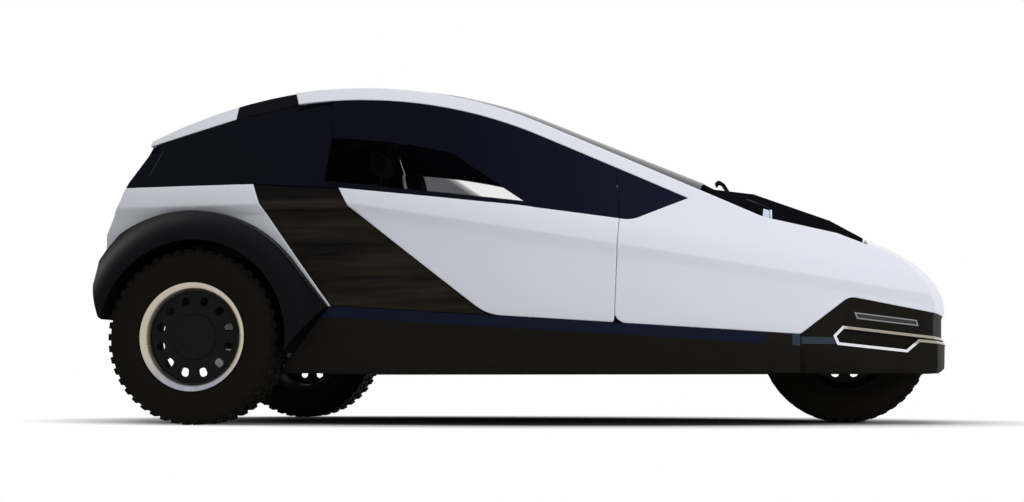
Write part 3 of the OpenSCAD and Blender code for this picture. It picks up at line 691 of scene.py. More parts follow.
def join(name, pieces):
    """Joins pieces into one, keeping their finishes."""
    bm = bmesh.new()
    finishes = []
    for piece in pieces:
        first = len(bm.faces)
        bm.from_mesh(piece.data)
        bm.faces.ensure_lookup_table()
        local = list(piece.data.materials)
        for face in bm.faces[first:]:
            finish = local[min(face.material_index, len(local) - 1)]
            if finish not in finishes:
                finishes.append(finish)
            face.material_index = finishes.index(finish)
    mesh = bpy.data.meshes.new(name)
    bm.to_mesh(mesh)
    bm.free()
    for finish in finishes:
        mesh.materials.append(finish)
    for piece in pieces:
        old = piece.data
        bpy.data.objects.remove(piece)
        bpy.data.meshes.remove(old)
    made = bpy.data.objects.new(name, mesh)
    bpy.context.scene.collection.objects.link(made)
    return soften(made, 0)


# The body's form

# Sections as rows of (place, depth or half width, reach of the rounded bend)
FLANK_ROWS = ((-760, 108, 0), (-480, 44, 110), (-250, 18, 120), (-36, 16, 7), (6, 0, 6), (75, 27, 22),
              (640, 378, 0))
SILL_ROWS = ((-360, 36, 0), (-45, 6, 7), (0, 34, 7), (700, 60, 0))
CREASE_AT = (-660, 880)
ROOF_R, ROOF_MID, SCREEN_LEAN = 1900, -680, math.radians(24)
ROOF_TURN = ROOF_MID + ROOF_R * math.sin(SCREEN_LEAN)
ROOF_BACK, ROOF_FRONT, SCREEN_BACK, SCREEN_FRONT = -1189, -262, -261, 742
SPOILER_BACK, SPOILER_FRONT, SPOILER_LOW = -1559, -1191, 1161
RAIL_Y, RAIL_BACK, RAIL_FOOT, CROWN_AXIS = 400, -938, -917, -100
SEAM, GAP, FIT = 0.5, 1.3, 0.4
BELT = ((-685, 948), (40, 871), (436, 818))
BELT_BACK, PILLAR_BACK, PILLAR_KINK, PILLAR_LOW = (-1049, 973), (-1012, 890), (-640, 872), (-83, 435)
GLASS_BEND, LIGHT_TOP, DOOR_FRONT, WINDOW_BACK = (482, 812), 412, 415, -775
TIP, SILL_TOP, SILL_LEAN, SILL_FRONT = (699, 908), (-716, 474), math.radians(3.52), 1138
BUMPER_BEND, BUMPER_FRONT = (1334, 511), (1704, 442)
BUMPER_FALL = (BUMPER_FRONT[1] - BUMPER_BEND[1]) / (BUMPER_FRONT[0] - BUMPER_BEND[0])
SCREEN_END, HOOD_BEND, HOOD_FALL, HOOD_FRONT = 725, (999, 833), (1290, 771), 1412
NOSE_R, NOSE_LOW, NOSE_HIGH, NOSE_X = 900, 470, 388, 835
FLARE_CENTRE, FLARE_R = (-1300, 312), 553
FLARE_CORNER, FLARE_FOOT, FLARE_TAIL = (-725, 471), (-925, 215), (-1640, 432)
FLARE_BACK = ((-1652, 718), (-1688, 664), (-1684, 560))
FLARE_MOUTH, FLARE_INNER, FLARE_WALL = 384.5, 692, 30
FLARE_ROWS = ((384, 896, 0), (392, 904, 4), (415, 904, 14), (445, 890, 14), (475, 862, 14), (505, 822, 14),
              (535, 788, 14), (580, 764, 14), (700, 731, 0))
REAR_AXLE, FRONT_AXLE, AXLE_Z, HALF_TRACK = -1250, 1320, 350, 780
TAIL_R, TAIL_X = 6500, -1735
TAIL_ROWS = ((380, 44), (520, 14), (640, 0), (780, 0), (845, 29), (905, 55), (990, 80), (1240, 219))
HATCH_HALF, HATCH_LOW, HATCH_SPLIT, HATCH_TOP, HATCH_PIN = 575, 607, 978, 1118, (-1550, 1138)
TAIL_GAP = 583
LAMP_SLOT = ((1354, 447), (1600, 418), (1606, 396), (1364, 423))


def eased(rows, at):
    """Value at a place of a section made of straight rows whose bends are rounded."""
    last = (rows[1][1] - rows[0][1]) / (rows[1][0] - rows[0][0])
    value = rows[0][1] + last * (at - rows[0][0])
    for (p0, d0, soft), (p1, d1, _) in zip(rows[1:], rows[2:]):
        slope = (d1 - d0) / (p1 - p0)
        t = at - p0
        value += (slope - last) * (t if t >= soft else 0 if t <= -soft else (t + soft) ** 2 / (4 * soft))
        last = slope
    return value


class Flank:
    """A side of the car: a section turned about a far upright axis and leaned nose down."""

    def __init__(self, rows, tilt, pivot):
        form = bpy.context.scene.car_form
        self.rows, self.pivot = rows, pivot
        self.c, self.s = math.cos(tilt), math.sin(tilt)
        self.r, self.half_w, self.mid = form.plan_radius / MM, form.half_width / MM, form.widest / MM

    def lean(self, x, z):
        dx, dz = x - self.pivot[0], z - self.pivot[1]
        return dx * self.c - dz * self.s, dx * self.s + dz * self.c

    def level(self, u, v):
        return self.pivot[0] + u * self.c + v * self.s, self.pivot[1] - u * self.s + v * self.c

    def half(self, x, z, depth=0):
        """Half width at x and z, depth under the skin."""
        u, v = self.lean(x, z)
        r = self.r - eased(self.rows, v) - depth
        return math.sqrt(r * r - (u - self.mid + self.pivot[0]) ** 2) - self.r + self.half_w

    def rows_near(self):
        """Heights at which a panel needs rows of points to show the sharp bends."""
        out = []
        for v, _, soft in self.rows[1:-1]:
            if 0 < soft < 60:
                out += [v - soft, v - soft / 2, v, v + soft / 2, v + soft]
        return out


def front_flank():
    return Flank(FLANK_ROWS, bpy.context.scene.car_form.crease_tilt, CREASE_AT)


def rear_flank():
    return Flank(FLANK_ROWS, 0.0, CREASE_AT)


def side_panel(name, ring, flank, depth, thick, finishes, hand, step, width=None, back=None, holes=()):
    """A panel of one side: a side outline laid on the flank. back(x, z) may give its inner face."""
    def at(u, v, d):
        x, z = flank.level(u, v)
        return x, hand * flank.half(x, z, d), z

    def under(u, v):
        x, y, z = at(u, v, depth + thick)
        return (x, hand * back(x, z), z) if back else (x, y, z)

    leaned = [[flank.lean(*p) for p in outline] for outline in (ring, *holes)]
    return shell(name, leaned, lambda u, v: at(u, v, depth), under, finishes, step, flank.rows_near(), width)


def roof_z(x):
    """Height of the roof rails' upper edge: an arc, then the straight line of the windscreen."""
    height = bpy.context.scene.car_form.roof_height / MM
    if x < ROOF_TURN:
        return height - ROOF_R + math.sqrt(ROOF_R ** 2 - (x - ROOF_MID) ** 2)
    return height - ROOF_R + ROOF_R * math.cos(SCREEN_LEAN) - (x - ROOF_TURN) * math.tan(SCREEN_LEAN)


def rail_drop():
    return bpy.context.scene.car_form.rail_width / MM


def roof_line(x0, x1, drop, n=16):
    return [(x0 + (x1 - x0) * i / n, roof_z(x0 + (x1 - x0) * i / n) - drop) for i in range(n + 1)]


def crown_z(x, y, depth):
    """Height of the roof across the car, depth under its skin."""
    return CROWN_AXIS + math.sqrt((math.hypot(roof_z(x) - CROWN_AXIS, RAIL_Y) - depth) ** 2 - y * y)


def crown_sheet(name, rings, depth, thick, finishes, step, width=None):
    """A panel of the roof: an outline seen from above laid on the crown."""
    return shell(name, rings, lambda x, y: (x, y, crown_z(x, y, depth)),
                 lambda x, y: (x, y, crown_z(x, y, depth + thick)), finishes, step, (), width)


def sill_z(x):
    return SILL_TOP[1] - (x - SILL_TOP[0]) * math.tan(SILL_LEAN)


def bumper_z(x):
    return BUMPER_BEND[1] + BUMPER_FALL * (x - BUMPER_BEND[0])


def nose_levels(n):
    """Rows of (radius, height) down the nose's section."""
    rows = [(NOSE_R * math.cos(math.radians(a)), NOSE_LOW + NOSE_HIGH * math.sin(math.radians(a)))
            for a in (70 * (1 - i / n) for i in range(n + 1))]
    return rows + [(NOSE_R, 460), (NOSE_R, 452), (NOSE_R - 4, 441), (NOSE_R - 8, 430), (NOSE_R - 8, 415)]


def nose_edge(rho, z, flank):
    """Turn from the middle at which the nose meets the flank."""
    low, high = 0.0, 1.4
    for _ in range(40):
        a = (low + high) / 2
        if rho * math.sin(a) < flank.half(NOSE_X + rho * math.cos(a), z):
            low = a
        else:
            high = a
    return low


def tail_inset(z):
    for (z0, d0), (z1, d1) in zip(TAIL_ROWS, TAIL_ROWS[1:]):
        if z <= z1:
            break
    return d0 + (d1 - d0) * (z - z0) / (z1 - z0)


def tail_x(y, z, depth=0):
    return TAIL_X + TAIL_R - math.sqrt((TAIL_R - tail_inset(z) - depth) ** 2 - y * y)


def tail_edge(flank, z):
    """Where the flank meets the tail at a height."""
    x = TAIL_X
    for _ in range(12):
        x = tail_x(flank.half(x, z), z)
    return x


def flare_arc(step):
    """The flare's upper edge, from its front corner backwards."""
    turns = [math.radians(a) for a in range(36, 125, step)]
    return [(FLARE_CENTRE[0] + FLARE_R * math.cos(a), FLARE_CENTRE[1] + FLARE_R * math.sin(a)) for a in turns]


# Pieces

def window_bend():
    return round_corner(BELT[2], GLASS_BEND, TIP, 110)


def white_side_outline(flank):
    curve = []
    for rho, z in nose_levels(22):
        x = NOSE_X + rho * math.cos(nose_edge(rho, z, flank))
        if x > HOOD_FRONT and z > bumper_z(x) + 2:
            curve.append((x, z))
    front = (curve[-1][0], bumper_z(curve[-1][0]))
    screen, sill_end = (SCREEN_END, roof_z(SCREEN_END)), (SILL_FRONT, sill_z(SILL_FRONT))
    door_low = (DOOR_FRONT, sill_z(DOOR_FRONT))
    hood = round_corner(screen, HOOD_BEND, HOOD_FALL, 260) + round_corner(HOOD_BEND, HOOD_FALL, curve[0], 160)
    low = round_corner(front, BUMPER_BEND, sill_end, 60) + round_corner(BUMPER_BEND, sill_end, door_low, 30)
    low += round_corner(sill_end, door_low, BELT[2], 45)
    top = roof_line(RAIL_BACK, ROOF_TURN, 0) + [screen]
    under = [(TIP[0], roof_z(TIP[0]) - rail_drop())] + roof_line(ROOF_TURN, RAIL_FOOT, rail_drop())
    return top + hood + curve + [front] + low + [BELT[2]] + window_bend() + under


def make_white_sides():
    flank = front_flank()

    def back(x, z):
        """The rail is a closed bar, the flank a thin skin that thickens ahead of the door."""
        skin = flank.half(x, z)
        if x < 640 and z > 0.9 * (roof_z(x) - 58):
            return max(skin - 110, RAIL_Y + SEAM)
        return skin - 8 - 34 * min(1.0, max(0.0, (x - 452) / 40))

    ring = shrink(white_side_outline(flank), 0.3)
    for side, hand in SIDES:
        piece = side_panel("white_side_" + side, ring, flank, 0, 40, ("paint", "trim"), hand, 28, 4, back)
        settle(piece, "body", ["rails", "flanks"])


def make_nose():
    flank = front_flank()
    verts, faces, cols = [], [], 40
    levels = nose_levels(30)
    for rho, z in levels:
        edge = nose_edge(rho, z, flank)
        for j in range(cols + 1):
            a = edge * (2 * j / cols - 1)
            verts.append((NOSE_X + rho * math.cos(a), rho * math.sin(a), z))
    for i in range(len(levels) - 1):
        for j in range(cols):
            a = i * (cols + 1) + j
            faces.append((a, a + 1, a + cols + 2, a + cols + 1))
    piece = new_piece("nose_skin", verts, faces, "paint")
    bm = bmesh.new()
    bm.from_mesh(piece.data)
    cuts = (((HOOD_FRONT * MM, 0, 0), (1, 0, 0)),
            ((BUMPER_BEND[0] * MM, 0, (BUMPER_BEND[1] + SEAM) * MM), (-BUMPER_FALL, 0, 1)))
    for point, normal in cuts:
        bmesh.ops.bisect_plane(bm, geom=bm.verts[:] + bm.edges[:] + bm.faces[:], plane_co=point,
                               plane_no=normal, clear_inner=True)
    bmesh.ops.recalc_face_normals(bm, faces=bm.faces)
    bm.normal_update()
    if sum(f.normal.x for f in bm.faces) < 0:
        bmesh.ops.reverse_faces(bm, faces=bm.faces)
    bm.to_mesh(piece.data)
    bm.free()
    solid = piece.modifiers.new("wall", "SOLIDIFY")
    solid.thickness, solid.offset = 0.012, -1
    bake(piece)
    settle(soften(piece, 0.002, 2, 60.0), "body", ["nose"])


def make_quarters():
    flank = rear_flank()
    tail = [(tail_edge(flank, z), z) for z in (690, 740, 780, 812, 845, 875, 905, 940, 975)]
    ring = flare_arc(4) + list(FLARE_BACK[:2]) + tail + [BELT_BACK, PILLAR_BACK, SILL_TOP, FLARE_CORNER]
    for side, hand in SIDES:
        piece = side_panel("quarter_" + side, shrink(ring, FIT), flank, 0, 40, ("paint", "trim"), hand, 28)
        settle(piece, "body", ["quarters"])


def make_pillars():
    ring = shrink([BELT_BACK, BELT[0], PILLAR_KINK, PILLAR_LOW, SILL_TOP, PILLAR_BACK], FIT)
    for side, hand in SIDES:
        piece = side_panel("pillar_" + side, ring, rear_flank(), 6, 50, ("streaked", "trim"), hand, 28, 2)
        settle(piece, "body", ["pillars"])


def make_side_glass():
    front, rear, drop = front_flank(), rear_flank(), rail_drop()
    light_top = (LIGHT_TOP, roof_z(LIGHT_TOP) - drop)
    light = [BELT[2]] + window_bend() + [TIP, light_top]
    tail = [(tail_edge(rear, z), z) for z in (1150, 1100, 1050, 1000, 976)]
    back_glass = (tail + [BELT_BACK, BELT[0]] + roof_line(WINDOW_BACK, RAIL_FOOT, drop + 1, 2)
                  + [(-1190, 1270), (-1532, 1167)])
    window = ([(BELT[0][0], BELT[0][1] + SEAM)] + round_corner(*BELT, 400) + [(BELT[2][0], BELT[2][1] + SEAM)]
              + [light_top] + roof_line(ROOF_TURN, WINDOW_BACK, drop))
    post = [(-805, 900), (-748, 900), (-748, roof_z(-748) - drop - 6), (-805, roof_z(-805) - drop - 6)]
    cant = roof_line(-1150, -690, drop + 26) + roof_line(-690, -1150, drop - 20)
    for side, hand in SIDES:
        for name, ring, depth in (("cant_trim_", cant, 14), ("post_seal_", post, 11)):
            settle(side_panel(name + side, ring, rear, depth, 4, "trim", hand, 40, 0), "body")
        for name, ring, fit, flank, body, node in (
                ("quarter_light_", light, FIT, front, "body", "quarter_lights"),
                ("rear_side_glass_", back_glass, FIT, rear, "body", "rear_side_glass"),
                ("door_window_", window, GAP, front, "door_" + side, "door_glass_" + side)):
            pane = side_panel(name + side, shrink(ring, fit), flank, 2, 6, "glass", hand, 40, 0)
            settle(pane, body, [node])


def make_doors():
    flank = front_flank()
    belt = [(x, z + GAP, r) for (x, z), r in zip(BELT, (0, 400, 0))]
    ring = rounded([belt[0], (*PILLAR_KINK, 20), (*PILLAR_LOW, 180), (DOOR_FRONT, sill_z(DOOR_FRONT), 12),
                    belt[2], belt[1]])
    lining = rounded([(BELT[0][0] + 22, BELT[0][1] - 12, 20), (-622, 870, 20), (-86, 452, 120),
                      (352, 412, 30), (352, 812, 30)])
    # Strips behind the front shut line, painted below the belt
    flange = [(398, 806), (398, 432), (422, 430), (424, 802)]
    seal = [(394, 808), (430, 804), (430, 950), (394, 962)]
    for side, hand in SIDES:
        door = "door_" + side
        skin = side_panel("door_skin_" + side, shrink(ring, GAP), flank, 0, 9, ("paint", "trim"), hand, 28)
        settle(skin, door, [door])
        settle(side_panel("door_lining_" + side, lining, flank, 10, 80, "trim", hand, 40, 8), door)
        settle(side_panel("door_flange_" + side, flange, flank, 10.5, 2, "paint", hand, 20, 0), door)
        settle(side_panel("door_seal_" + side, seal, flank, 9.5, 3, "trim", hand, 20, 0), door)


def make_sills():
    flank = Flank(SILL_ROWS, SILL_LEAN, SILL_TOP)
    low, back = 205.3, FLARE_FOOT[0] + 24
    ring = [(FLARE_CORNER[0] + 4, FLARE_CORNER[1] - 2), SILL_TOP, (SILL_FRONT, sill_z(SILL_FRONT)),
            (SILL_FRONT, low), (back, low), (back, FLARE_FOOT[1] + 29)]
    for side, hand in SIDES:
        piece = side_panel("sill_" + side, shrink(ring, 0.3), flank, 0, 110, "sill", hand, 40, 4)
        settle(piece, "body", ["sills"])


def flare_y(x, z):
    return eased(FLARE_ROWS, math.hypot(x - REAR_AXLE, z - AXLE_Z))


def make_flares():
    axle = Vector((REAR_AXLE, AXLE_Z))

    def mouth_turn(a, b):
        """Turn about the axle at which the line from a to b crosses the mouth."""
        a, b = Vector(a), Vector(b)
        low, high = 0.0, 1.0
        flip = (a - axle).length > FLARE_MOUTH
        for _ in range(40):
            t = (low + high) / 2
            if ((a.lerp(b, t) - axle).length > FLARE_MOUTH) == flip:
                low = t
            else:
                high = t
        at = a.lerp(b, low) - axle
        return math.atan2(at.y, at.x)

    a0 = mouth_turn(FLARE_TAIL, (-1500, 300)) % (2 * math.pi)
    a1 = mouth_turn(FLARE_FOOT, FLARE_CORNER)
    mouth = [(axle.x + FLARE_MOUTH * math.cos(a), axle.y + FLARE_MOUTH * math.sin(a))
             for a in (a0 + (a1 - a0) * i / 60 for i in range(61))]
    ring = shrink([FLARE_CORNER] + flare_arc(3) + list(FLARE_BACK) + [FLARE_TAIL] + mouth, 0.3)
    for side, hand in SIDES:
        piece = shell("flare_" + side, [ring], lambda x, z: (x, hand * flare_y(x, z), z),
                      lambda x, z: (x, hand * min(FLARE_INNER, flare_y(x, z) - FLARE_WALL), z),
                      "flare", 18, (), 4)
        settle(piece, "body", ["arches"])


def make_roof():
    roof = box(ROOF_BACK, ROOF_FRONT, 1 - RAIL_Y, RAIL_Y - 1)
    settle(crown_sheet("roof_skin", [roof], 0, 28, ("gloss", "trim"), 36, 2),
           "body", ["roof_panel"])
    screen = box(SCREEN_BACK, SCREEN_FRONT, 22 - RAIL_Y, RAIL_Y - 22)
    settle(crown_sheet("screen_glass", [screen], 0, 6, "glass", 36, 0),
           "body", ["windscreen"])
    shoulder = roof_line(ROOF_BACK, RAIL_BACK, 0, 6)
    shoulder += [(RAIL_FOOT, roof_z(RAIL_FOOT) - rail_drop()), (ROOF_BACK, 1270)]
    section = ((-10, -5), (-10, 1), (-4, 4), (4, 4), (10, 1), (10, -5))
    n = len(section)
    for side, hand in SIDES:
        piece = side_panel("roof_shoulder_" + side, shrink(shoulder, FIT), rear_flank(), 0, 40, "gloss", hand,
                           28, back=lambda x, z: RAIL_Y)
        settle(piece, "body", ["roof_panel"])
        strip_y = RAIL_Y - 11
        path = [(x, hand * strip_y, crown_z(x, strip_y, 1)) for x in range(-255, 741, 15)]
        verts = [(x, y + dy, z + dz) for x, y, z in path for dy, dz in section]
        faces = [(i + k, i + (k + 1) % n, i + n + (k + 1) % n, i + n + k)
                 for i in range(0, len(verts) - n, n) for k in range(n)]
        faces += [tuple(range(n - 1, -1, -1)), tuple(range(len(verts) - n, len(verts)))]
        settle(soften(outward(new_piece("screen_strip_" + side, verts, faces, "bronze")), 0), "body")


def make_spoiler():
    flank = rear_flank()
    hole = box(-1478, -1242, -328, 328)
    parts = [crown_sheet("spoiler_top", [box(SPOILER_BACK, SPOILER_FRONT, -RAIL_Y, RAIL_Y), hole], 0, 40,
                         "paint", 34)]
    ring = roof_line(SPOILER_BACK, SPOILER_FRONT, 0, 8)
    ring += [(SPOILER_FRONT, 1271), (-1540, 1167), (SPOILER_BACK, SPOILER_LOW)]
    for side, hand in SIDES:
        parts.append(side_panel("spoiler_" + side, shrink(ring, 0.2), flank, 0, 40, "paint", hand, 28,
                                back=lambda x, z: RAIL_Y))
    bar = [(-1558, 1160), (-1500, 1160), (-1500, 1172), (-1558, 1180)]
    parts.append(prism("spoiler_bar", bar, 1 - RAIL_Y, RAIL_Y - 1, "paint"))
    x, z = HATCH_PIN
    for _, hand in SIDES:
        lug = box(x - 14, x + 14, z - 8, z + 28)
        parts.append(prism("hatch_lug", lug, hand * 320, hand * 330, "cladding", 2))
        parts.append(tube("hatch_pin", [(x, hand * 282, z), (x, hand * 321, z)], 5.8, "cladding", 16))
    settle(join("spoiler_skin", parts), "body", ["spoiler"])
    glass = crown_sheet("rear_window_glass", [box(-1479, -1241, -329, 329)], 4, 6, "glass", 40, 0)
    settle(glass, "body", ["rear_window"])


def tail_sheet(name, ring, depth, thick, finishes, width=None):
    """A panel of the tail: an outline seen from behind laid on the tail's surface."""
    return shell(name, [ring], lambda y, z: (tail_x(y, z, depth), y, z),
                 lambda y, z: (tail_x(y, z, depth + thick), y, z), finishes, 30,
                 [z for z, _ in TAIL_ROWS], width)


def make_hatch():
    parts = [tail_sheet("hatch", box(-HATCH_HALF, HATCH_HALF, HATCH_LOW, HATCH_SPLIT), 0, 42,
                        ("paint", "trim"), 5)]
    x, z = HATCH_PIN
    for _, hand in SIDES:
        strap = box(hand * 300 - 15, hand * 300 + 15, 972, 1130)
        parts.append(tail_sheet("hatch_strap", strap, 7, 25, "trim"))
        parts.append(tube("hatch_knuckle", [(x, hand * 285, z), (x, hand * 315, z)], 12, "steel", 20))
    settle(join("hatch_skin", parts), "hatch", ["hatch_panel"])
    pane = box(-HATCH_HALF, HATCH_HALF, HATCH_SPLIT + 0.6, HATCH_TOP)
    settle(tail_sheet("hatch_window", pane, 0, 6, "glass", 0), "hatch", ["hatch_glass"])
    dress("tail_lamps", "red", 2.0, "tail_lamp_lenses")
    dress("rear_bumper", "cladding")


def make_tail():
    flank = rear_flank()

    def corner(low, high, depth):
        """Outline between the hatch and the flank, depth inside it."""
        heights = [low + (high - low) * i / 8 for i in range(9)]
        edge = [(flank.half(tail_edge(flank, z), z) - depth, z) for z in heights]
        return [(TAIL_GAP, low)] + edge + [(TAIL_GAP, high)]

    for name, y0, y1 in (("mid", -278, 278), ("right", -581, -336), ("left", 336, 581)):
        settle(tail_sheet("spoiler_seal_" + name, box(y0, y1, 1134, 1156), 6, 8, "gloss", 0), "body")
    for side, hand in SIDES:
        for name, low, high, depth, thick, finish in (("tail_corner_", 608, 974, 42, 40, "paint"),
                                                      ("tail_post_", 976, 1150, 10, 20, "gloss")):
            ring = [(hand * y, z) for y, z in corner(low, high, depth)]
            settle(tail_sheet(name + side, ring, 0, thick, finish), "body")


def make_front():
    for node, finish, width in (("front_bumper", "cladding", 3.0), ("cowl", "gloss", 4.0),
                                ("head_lamps", "gloss", 8.0), ("head_lamp_lenses", "lens", 3.0),
                                ("bumper_lamps", "slot", 0.8), ("intake_trim", "bright", 0.8),
                                ("wiper", "cladding", 3.0)):
        dress(node, finish, width)
    flank = front_flank()
    lens = [(990, 818), (1021, 813), (1021, 872), (996, 880)]
    strip = [(1142, 350), (1268, 348), (1284, 322), (1142, 322)]
    for side, hand in SIDES:
        settle(prism("lens_side_" + side, lens, hand * 329, hand * 331.5, "lens", 1), "body")
        bezel = side_panel("lamp_bezel_" + side, shrink(LAMP_SLOT, -1.5), flank, 2.5, 12, "alloy", hand,
                           20, 1, holes=[shrink(LAMP_SLOT, 4)])
        settle(bezel, "body")
        settle(side_panel("bumper_strip_" + side, strip, flank, 0, 8, "strip", hand, 30, 1), "body")


def make_running_gear():
    for node in ("rear_axle", "steering_head", "front_fork", "door_hinges", "hinge_posts"):
        dress(node, "steel")
    dress("drive_unit", "alloy", 6.0)
    dress("battery_pack", "alloy", 4.0)
    dress("floor_pan", "carpet", 1.5)


def make_cabin():
    dress("dashboard", "trim", 10.0)
    dress("hand_wheel", "trim")


# Side outline with corner radii, inner and outer edge across the car
SEAT_FORMS = {
    "cushion": ([(166, 316, 40), (182, 392, 40), (-284, 428, 40), (-330, 316, 30)], 122, 568),
    "back": ([(-304, 446, 30), (-352, 322, 30), (-430, 322, 40), (-626, 986, 36), (-564, 994, 36)], 122, 568),
    "rest": ([(-568, 1044, 24), (-594, 1140, 24), (-654, 1138, 24), (-634, 1044, 24)], 258, 432),
}
PAD_VOXEL, PAD_PRESSURE, PAD_FRAMES, PAD_REACH, PAD_EDGE = 0.006, 4.0, 20, 0.022, 24


def puffed(piece):
    """Blows a closed form up as cloth, no point further than PAD_REACH."""
    scene = bpy.context.scene
    remesh = piece.modifiers.new("voxels", "REMESH")
    remesh.mode, remesh.voxel_size = "VOXEL", PAD_VOXEL
    bake(piece)
    mesh = piece.data
    start = np.array([tuple(v.co) for v in mesh.vertices])
    cloth = piece.modifiers.new("pad", "CLOTH")
    cloth.settings.use_pressure = True
    cloth.settings.uniform_pressure_force = PAD_PRESSURE
    cloth.settings.effector_weights.gravity = 0.0
    cloth.settings.quality = 2
    cloth.collision_settings.use_collision = False
    cloth.point_cache.frame_start, cloth.point_cache.frame_end = 1, PAD_FRAMES
    for frame_number in range(1, PAD_FRAMES + 1):
        scene.frame_set(frame_number)
    depsgraph = bpy.context.evaluated_depsgraph_get()
    blown = np.array([tuple(v.co) for v in piece.evaluated_get(depsgraph).data.vertices])
    piece.modifiers.remove(cloth)
    scene.frame_set(1)
    move = blown - start
    length = np.linalg.norm(move, axis=1, keepdims=True)
    move *= np.minimum(1.0, PAD_REACH / np.maximum(length, 1e-9))
    mesh.vertices.foreach_set("co", (start + move).ravel())
    mesh.update()
    return piece


def make_seats():
    for label, (outline, near, far) in SEAT_FORMS.items():
        first = prism("seat_%s_right" % label, rounded(outline), -far, -near, "cloth", PAD_EDGE, 40)
        puffed(first)
        second = first.copy()
        second.data = first.data.copy()
        second.name = second.data.name = "seat_%s_left" % label
        bpy.context.scene.collection.objects.link(second)
        second.data.transform(Matrix.Scale(-1, 4, (0, 1, 0)))
        second.data.flip_normals()
        for piece in (first, second):
            # The back is too large to be divided once more within 200,000 triangles
            smooth = piece.modifiers.new("smooth", "SMOOTH" if label == "back" else "SUBSURF")
            if label == "back":
                smooth.iterations = 2
            else:
                smooth.levels = smooth.render_levels = 1
            bake(piece)
            piece.data.polygons.foreach_set("use_smooth", [True] * len(piece.data.polygons))
            settle(piece, "body", ["seats"])
    posts = [tube("rest_post", [(-600, hand * y, 960), (-600, hand * y, 1064)], 6.8, "steel", 16)
             for _, hand in SIDES for y in (300, 390)]
    settle(join("rest_posts", posts), "body", ["seats"])


# Wheels

WHEEL_TURNS, HUB_R, WHEEL_BOLTS, BOLT_R, WHEEL_CREASE = 120, 92, 5, 74, math.radians(36)
WINDOW = ((128, -14, 11), (163, -17, 13), (163, 17, 13), (128, 14, 11))


def make_tyre(prefix, wheel, rim_r, half_w):
    tyre_r = wheel.tyre_diameter / MM / 2
    tread = tyre_r - wheel.lug_depth / MM
    rows = [(rim_r - 14, half_w - 13), (rim_r + 2, half_w - 12.6), (rim_r + 10, half_w - 9),
            (rim_r + 24, half_w - 5), (rim_r + 40, half_w - 2), (rim_r + 52, half_w - 0.4),
            (rim_r + 55, half_w), (rim_r + 66, half_w), (rim_r + 69, half_w - 0.6),
            (tread - 26, half_w - 1.5), (tread - 14, half_w - 5), (tread - 4, half_w - 11),
            (tread, half_w - 20)]
    rows = rows + [(tread + 1, 0)] + [(r, -y) for r, y in reversed(rows)]
    carcass = lathe(prefix + "_carcass", rows, "rubber", WHEEL_TURNS)
    return join(prefix + "_tyre", [carcass, lug_ring(prefix + "_lugs", wheel, tread, tyre_r, half_w)])


def make_rim(prefix, wheel, rim_r, half_w, lip_finish):
    bead, disc_y = half_w - 13, half_w - 40
    face = [(-14.3, bead + 0.3), (-0.2, bead + 0.8), (0, bead + 3), (-1.5, bead + 6.5), (-9, bead + 6.5),
            (-12, bead + 4), (-19, bead + 1), (-27, bead - 10), (-33, disc_y + 6)]
    barrel = [(-36, disc_y + 1), (-36, disc_y - 6), (-28, disc_y - 16), (-28, 40 - bead), (-20, -bead - 6),
              (0, -bead - 6), (0, -bead - 0.8), (-14.3, -bead - 0.3)]
    ring = lathe(prefix + "_ring", [(rim_r + dr, y) for dr, y in face + barrel], (lip_finish, "disc"),
                 WHEEL_TURNS, [0] * len(face) + [1] * len(barrel))
    outer = rim_r - 35
    windows = []
    for i in range(wheel.windows):
        a = 2 * math.pi * (i + 0.5) / wheel.windows
        c, s = math.cos(a), math.sin(a)
        windows.append([(x * c - y * s, x * s + y * c) for x, y in rounded(WINDOW)])

    def dished(depth):
        def at_point(x, z):
            share = (math.hypot(x, z) - HUB_R) / (outer - HUB_R)
            return x, disc_y - depth + 4 * math.cos(share * math.pi), z
        return at_point

    disc = shell(prefix + "_disc", [circle(outer, 96), circle(HUB_R, 60)] + windows, dished(0), dished(9),
                 "disc", 9, (), 2)
    cap_rows = [(0, disc_y + 10), (52, disc_y + 10), (55, disc_y + 8), (64, disc_y + 8), (67, disc_y + 10.5),
                (84, disc_y + 9), (91, disc_y + 5), (93, disc_y - 4), (75, disc_y - 22), (75, -40), (28, -40),
                (28, disc_y - 20), (0, disc_y - 20)]
    cap = lathe(prefix + "_hub", cap_rows, "disc", 72, None, False)
    bolts = bolt_ring(prefix + "_bolts", WHEEL_BOLTS, BOLT_R, disc_y + 9.5)
    return join(prefix + "_wheel", [ring, disc, cap, bolts])


def make_wheel(prefix, at, hand, lip_finish):
    """A tyre and a rim, made about the origin, then moved to the axle and mirrored for the right side."""
    wheel = bpy.context.scene.car_wheel
    rim_r, half_w = wheel.rim_diameter / MM / 2, wheel.tyre_width / MM / 2
    tyre = make_tyre(prefix, wheel, rim_r, half_w)
    rim = make_rim(prefix, wheel, rim_r, half_w, lip_finish)
    place = Matrix.Translation(Vector(at) * MM) @ Matrix.Scale(hand, 4, (0, 1, 0))
    for piece, node, slot in ((tyre, "tyre_", "tyre"), (rim, "rim_", "wheel_metal")):
        piece.data.transform(place)
        if hand < 0:
            piece.data.flip_normals()
        piece.data.set_sharp_from_angle(angle=WHEEL_CREASE)
        settle(piece, "wheel_" + prefix, [node + prefix])


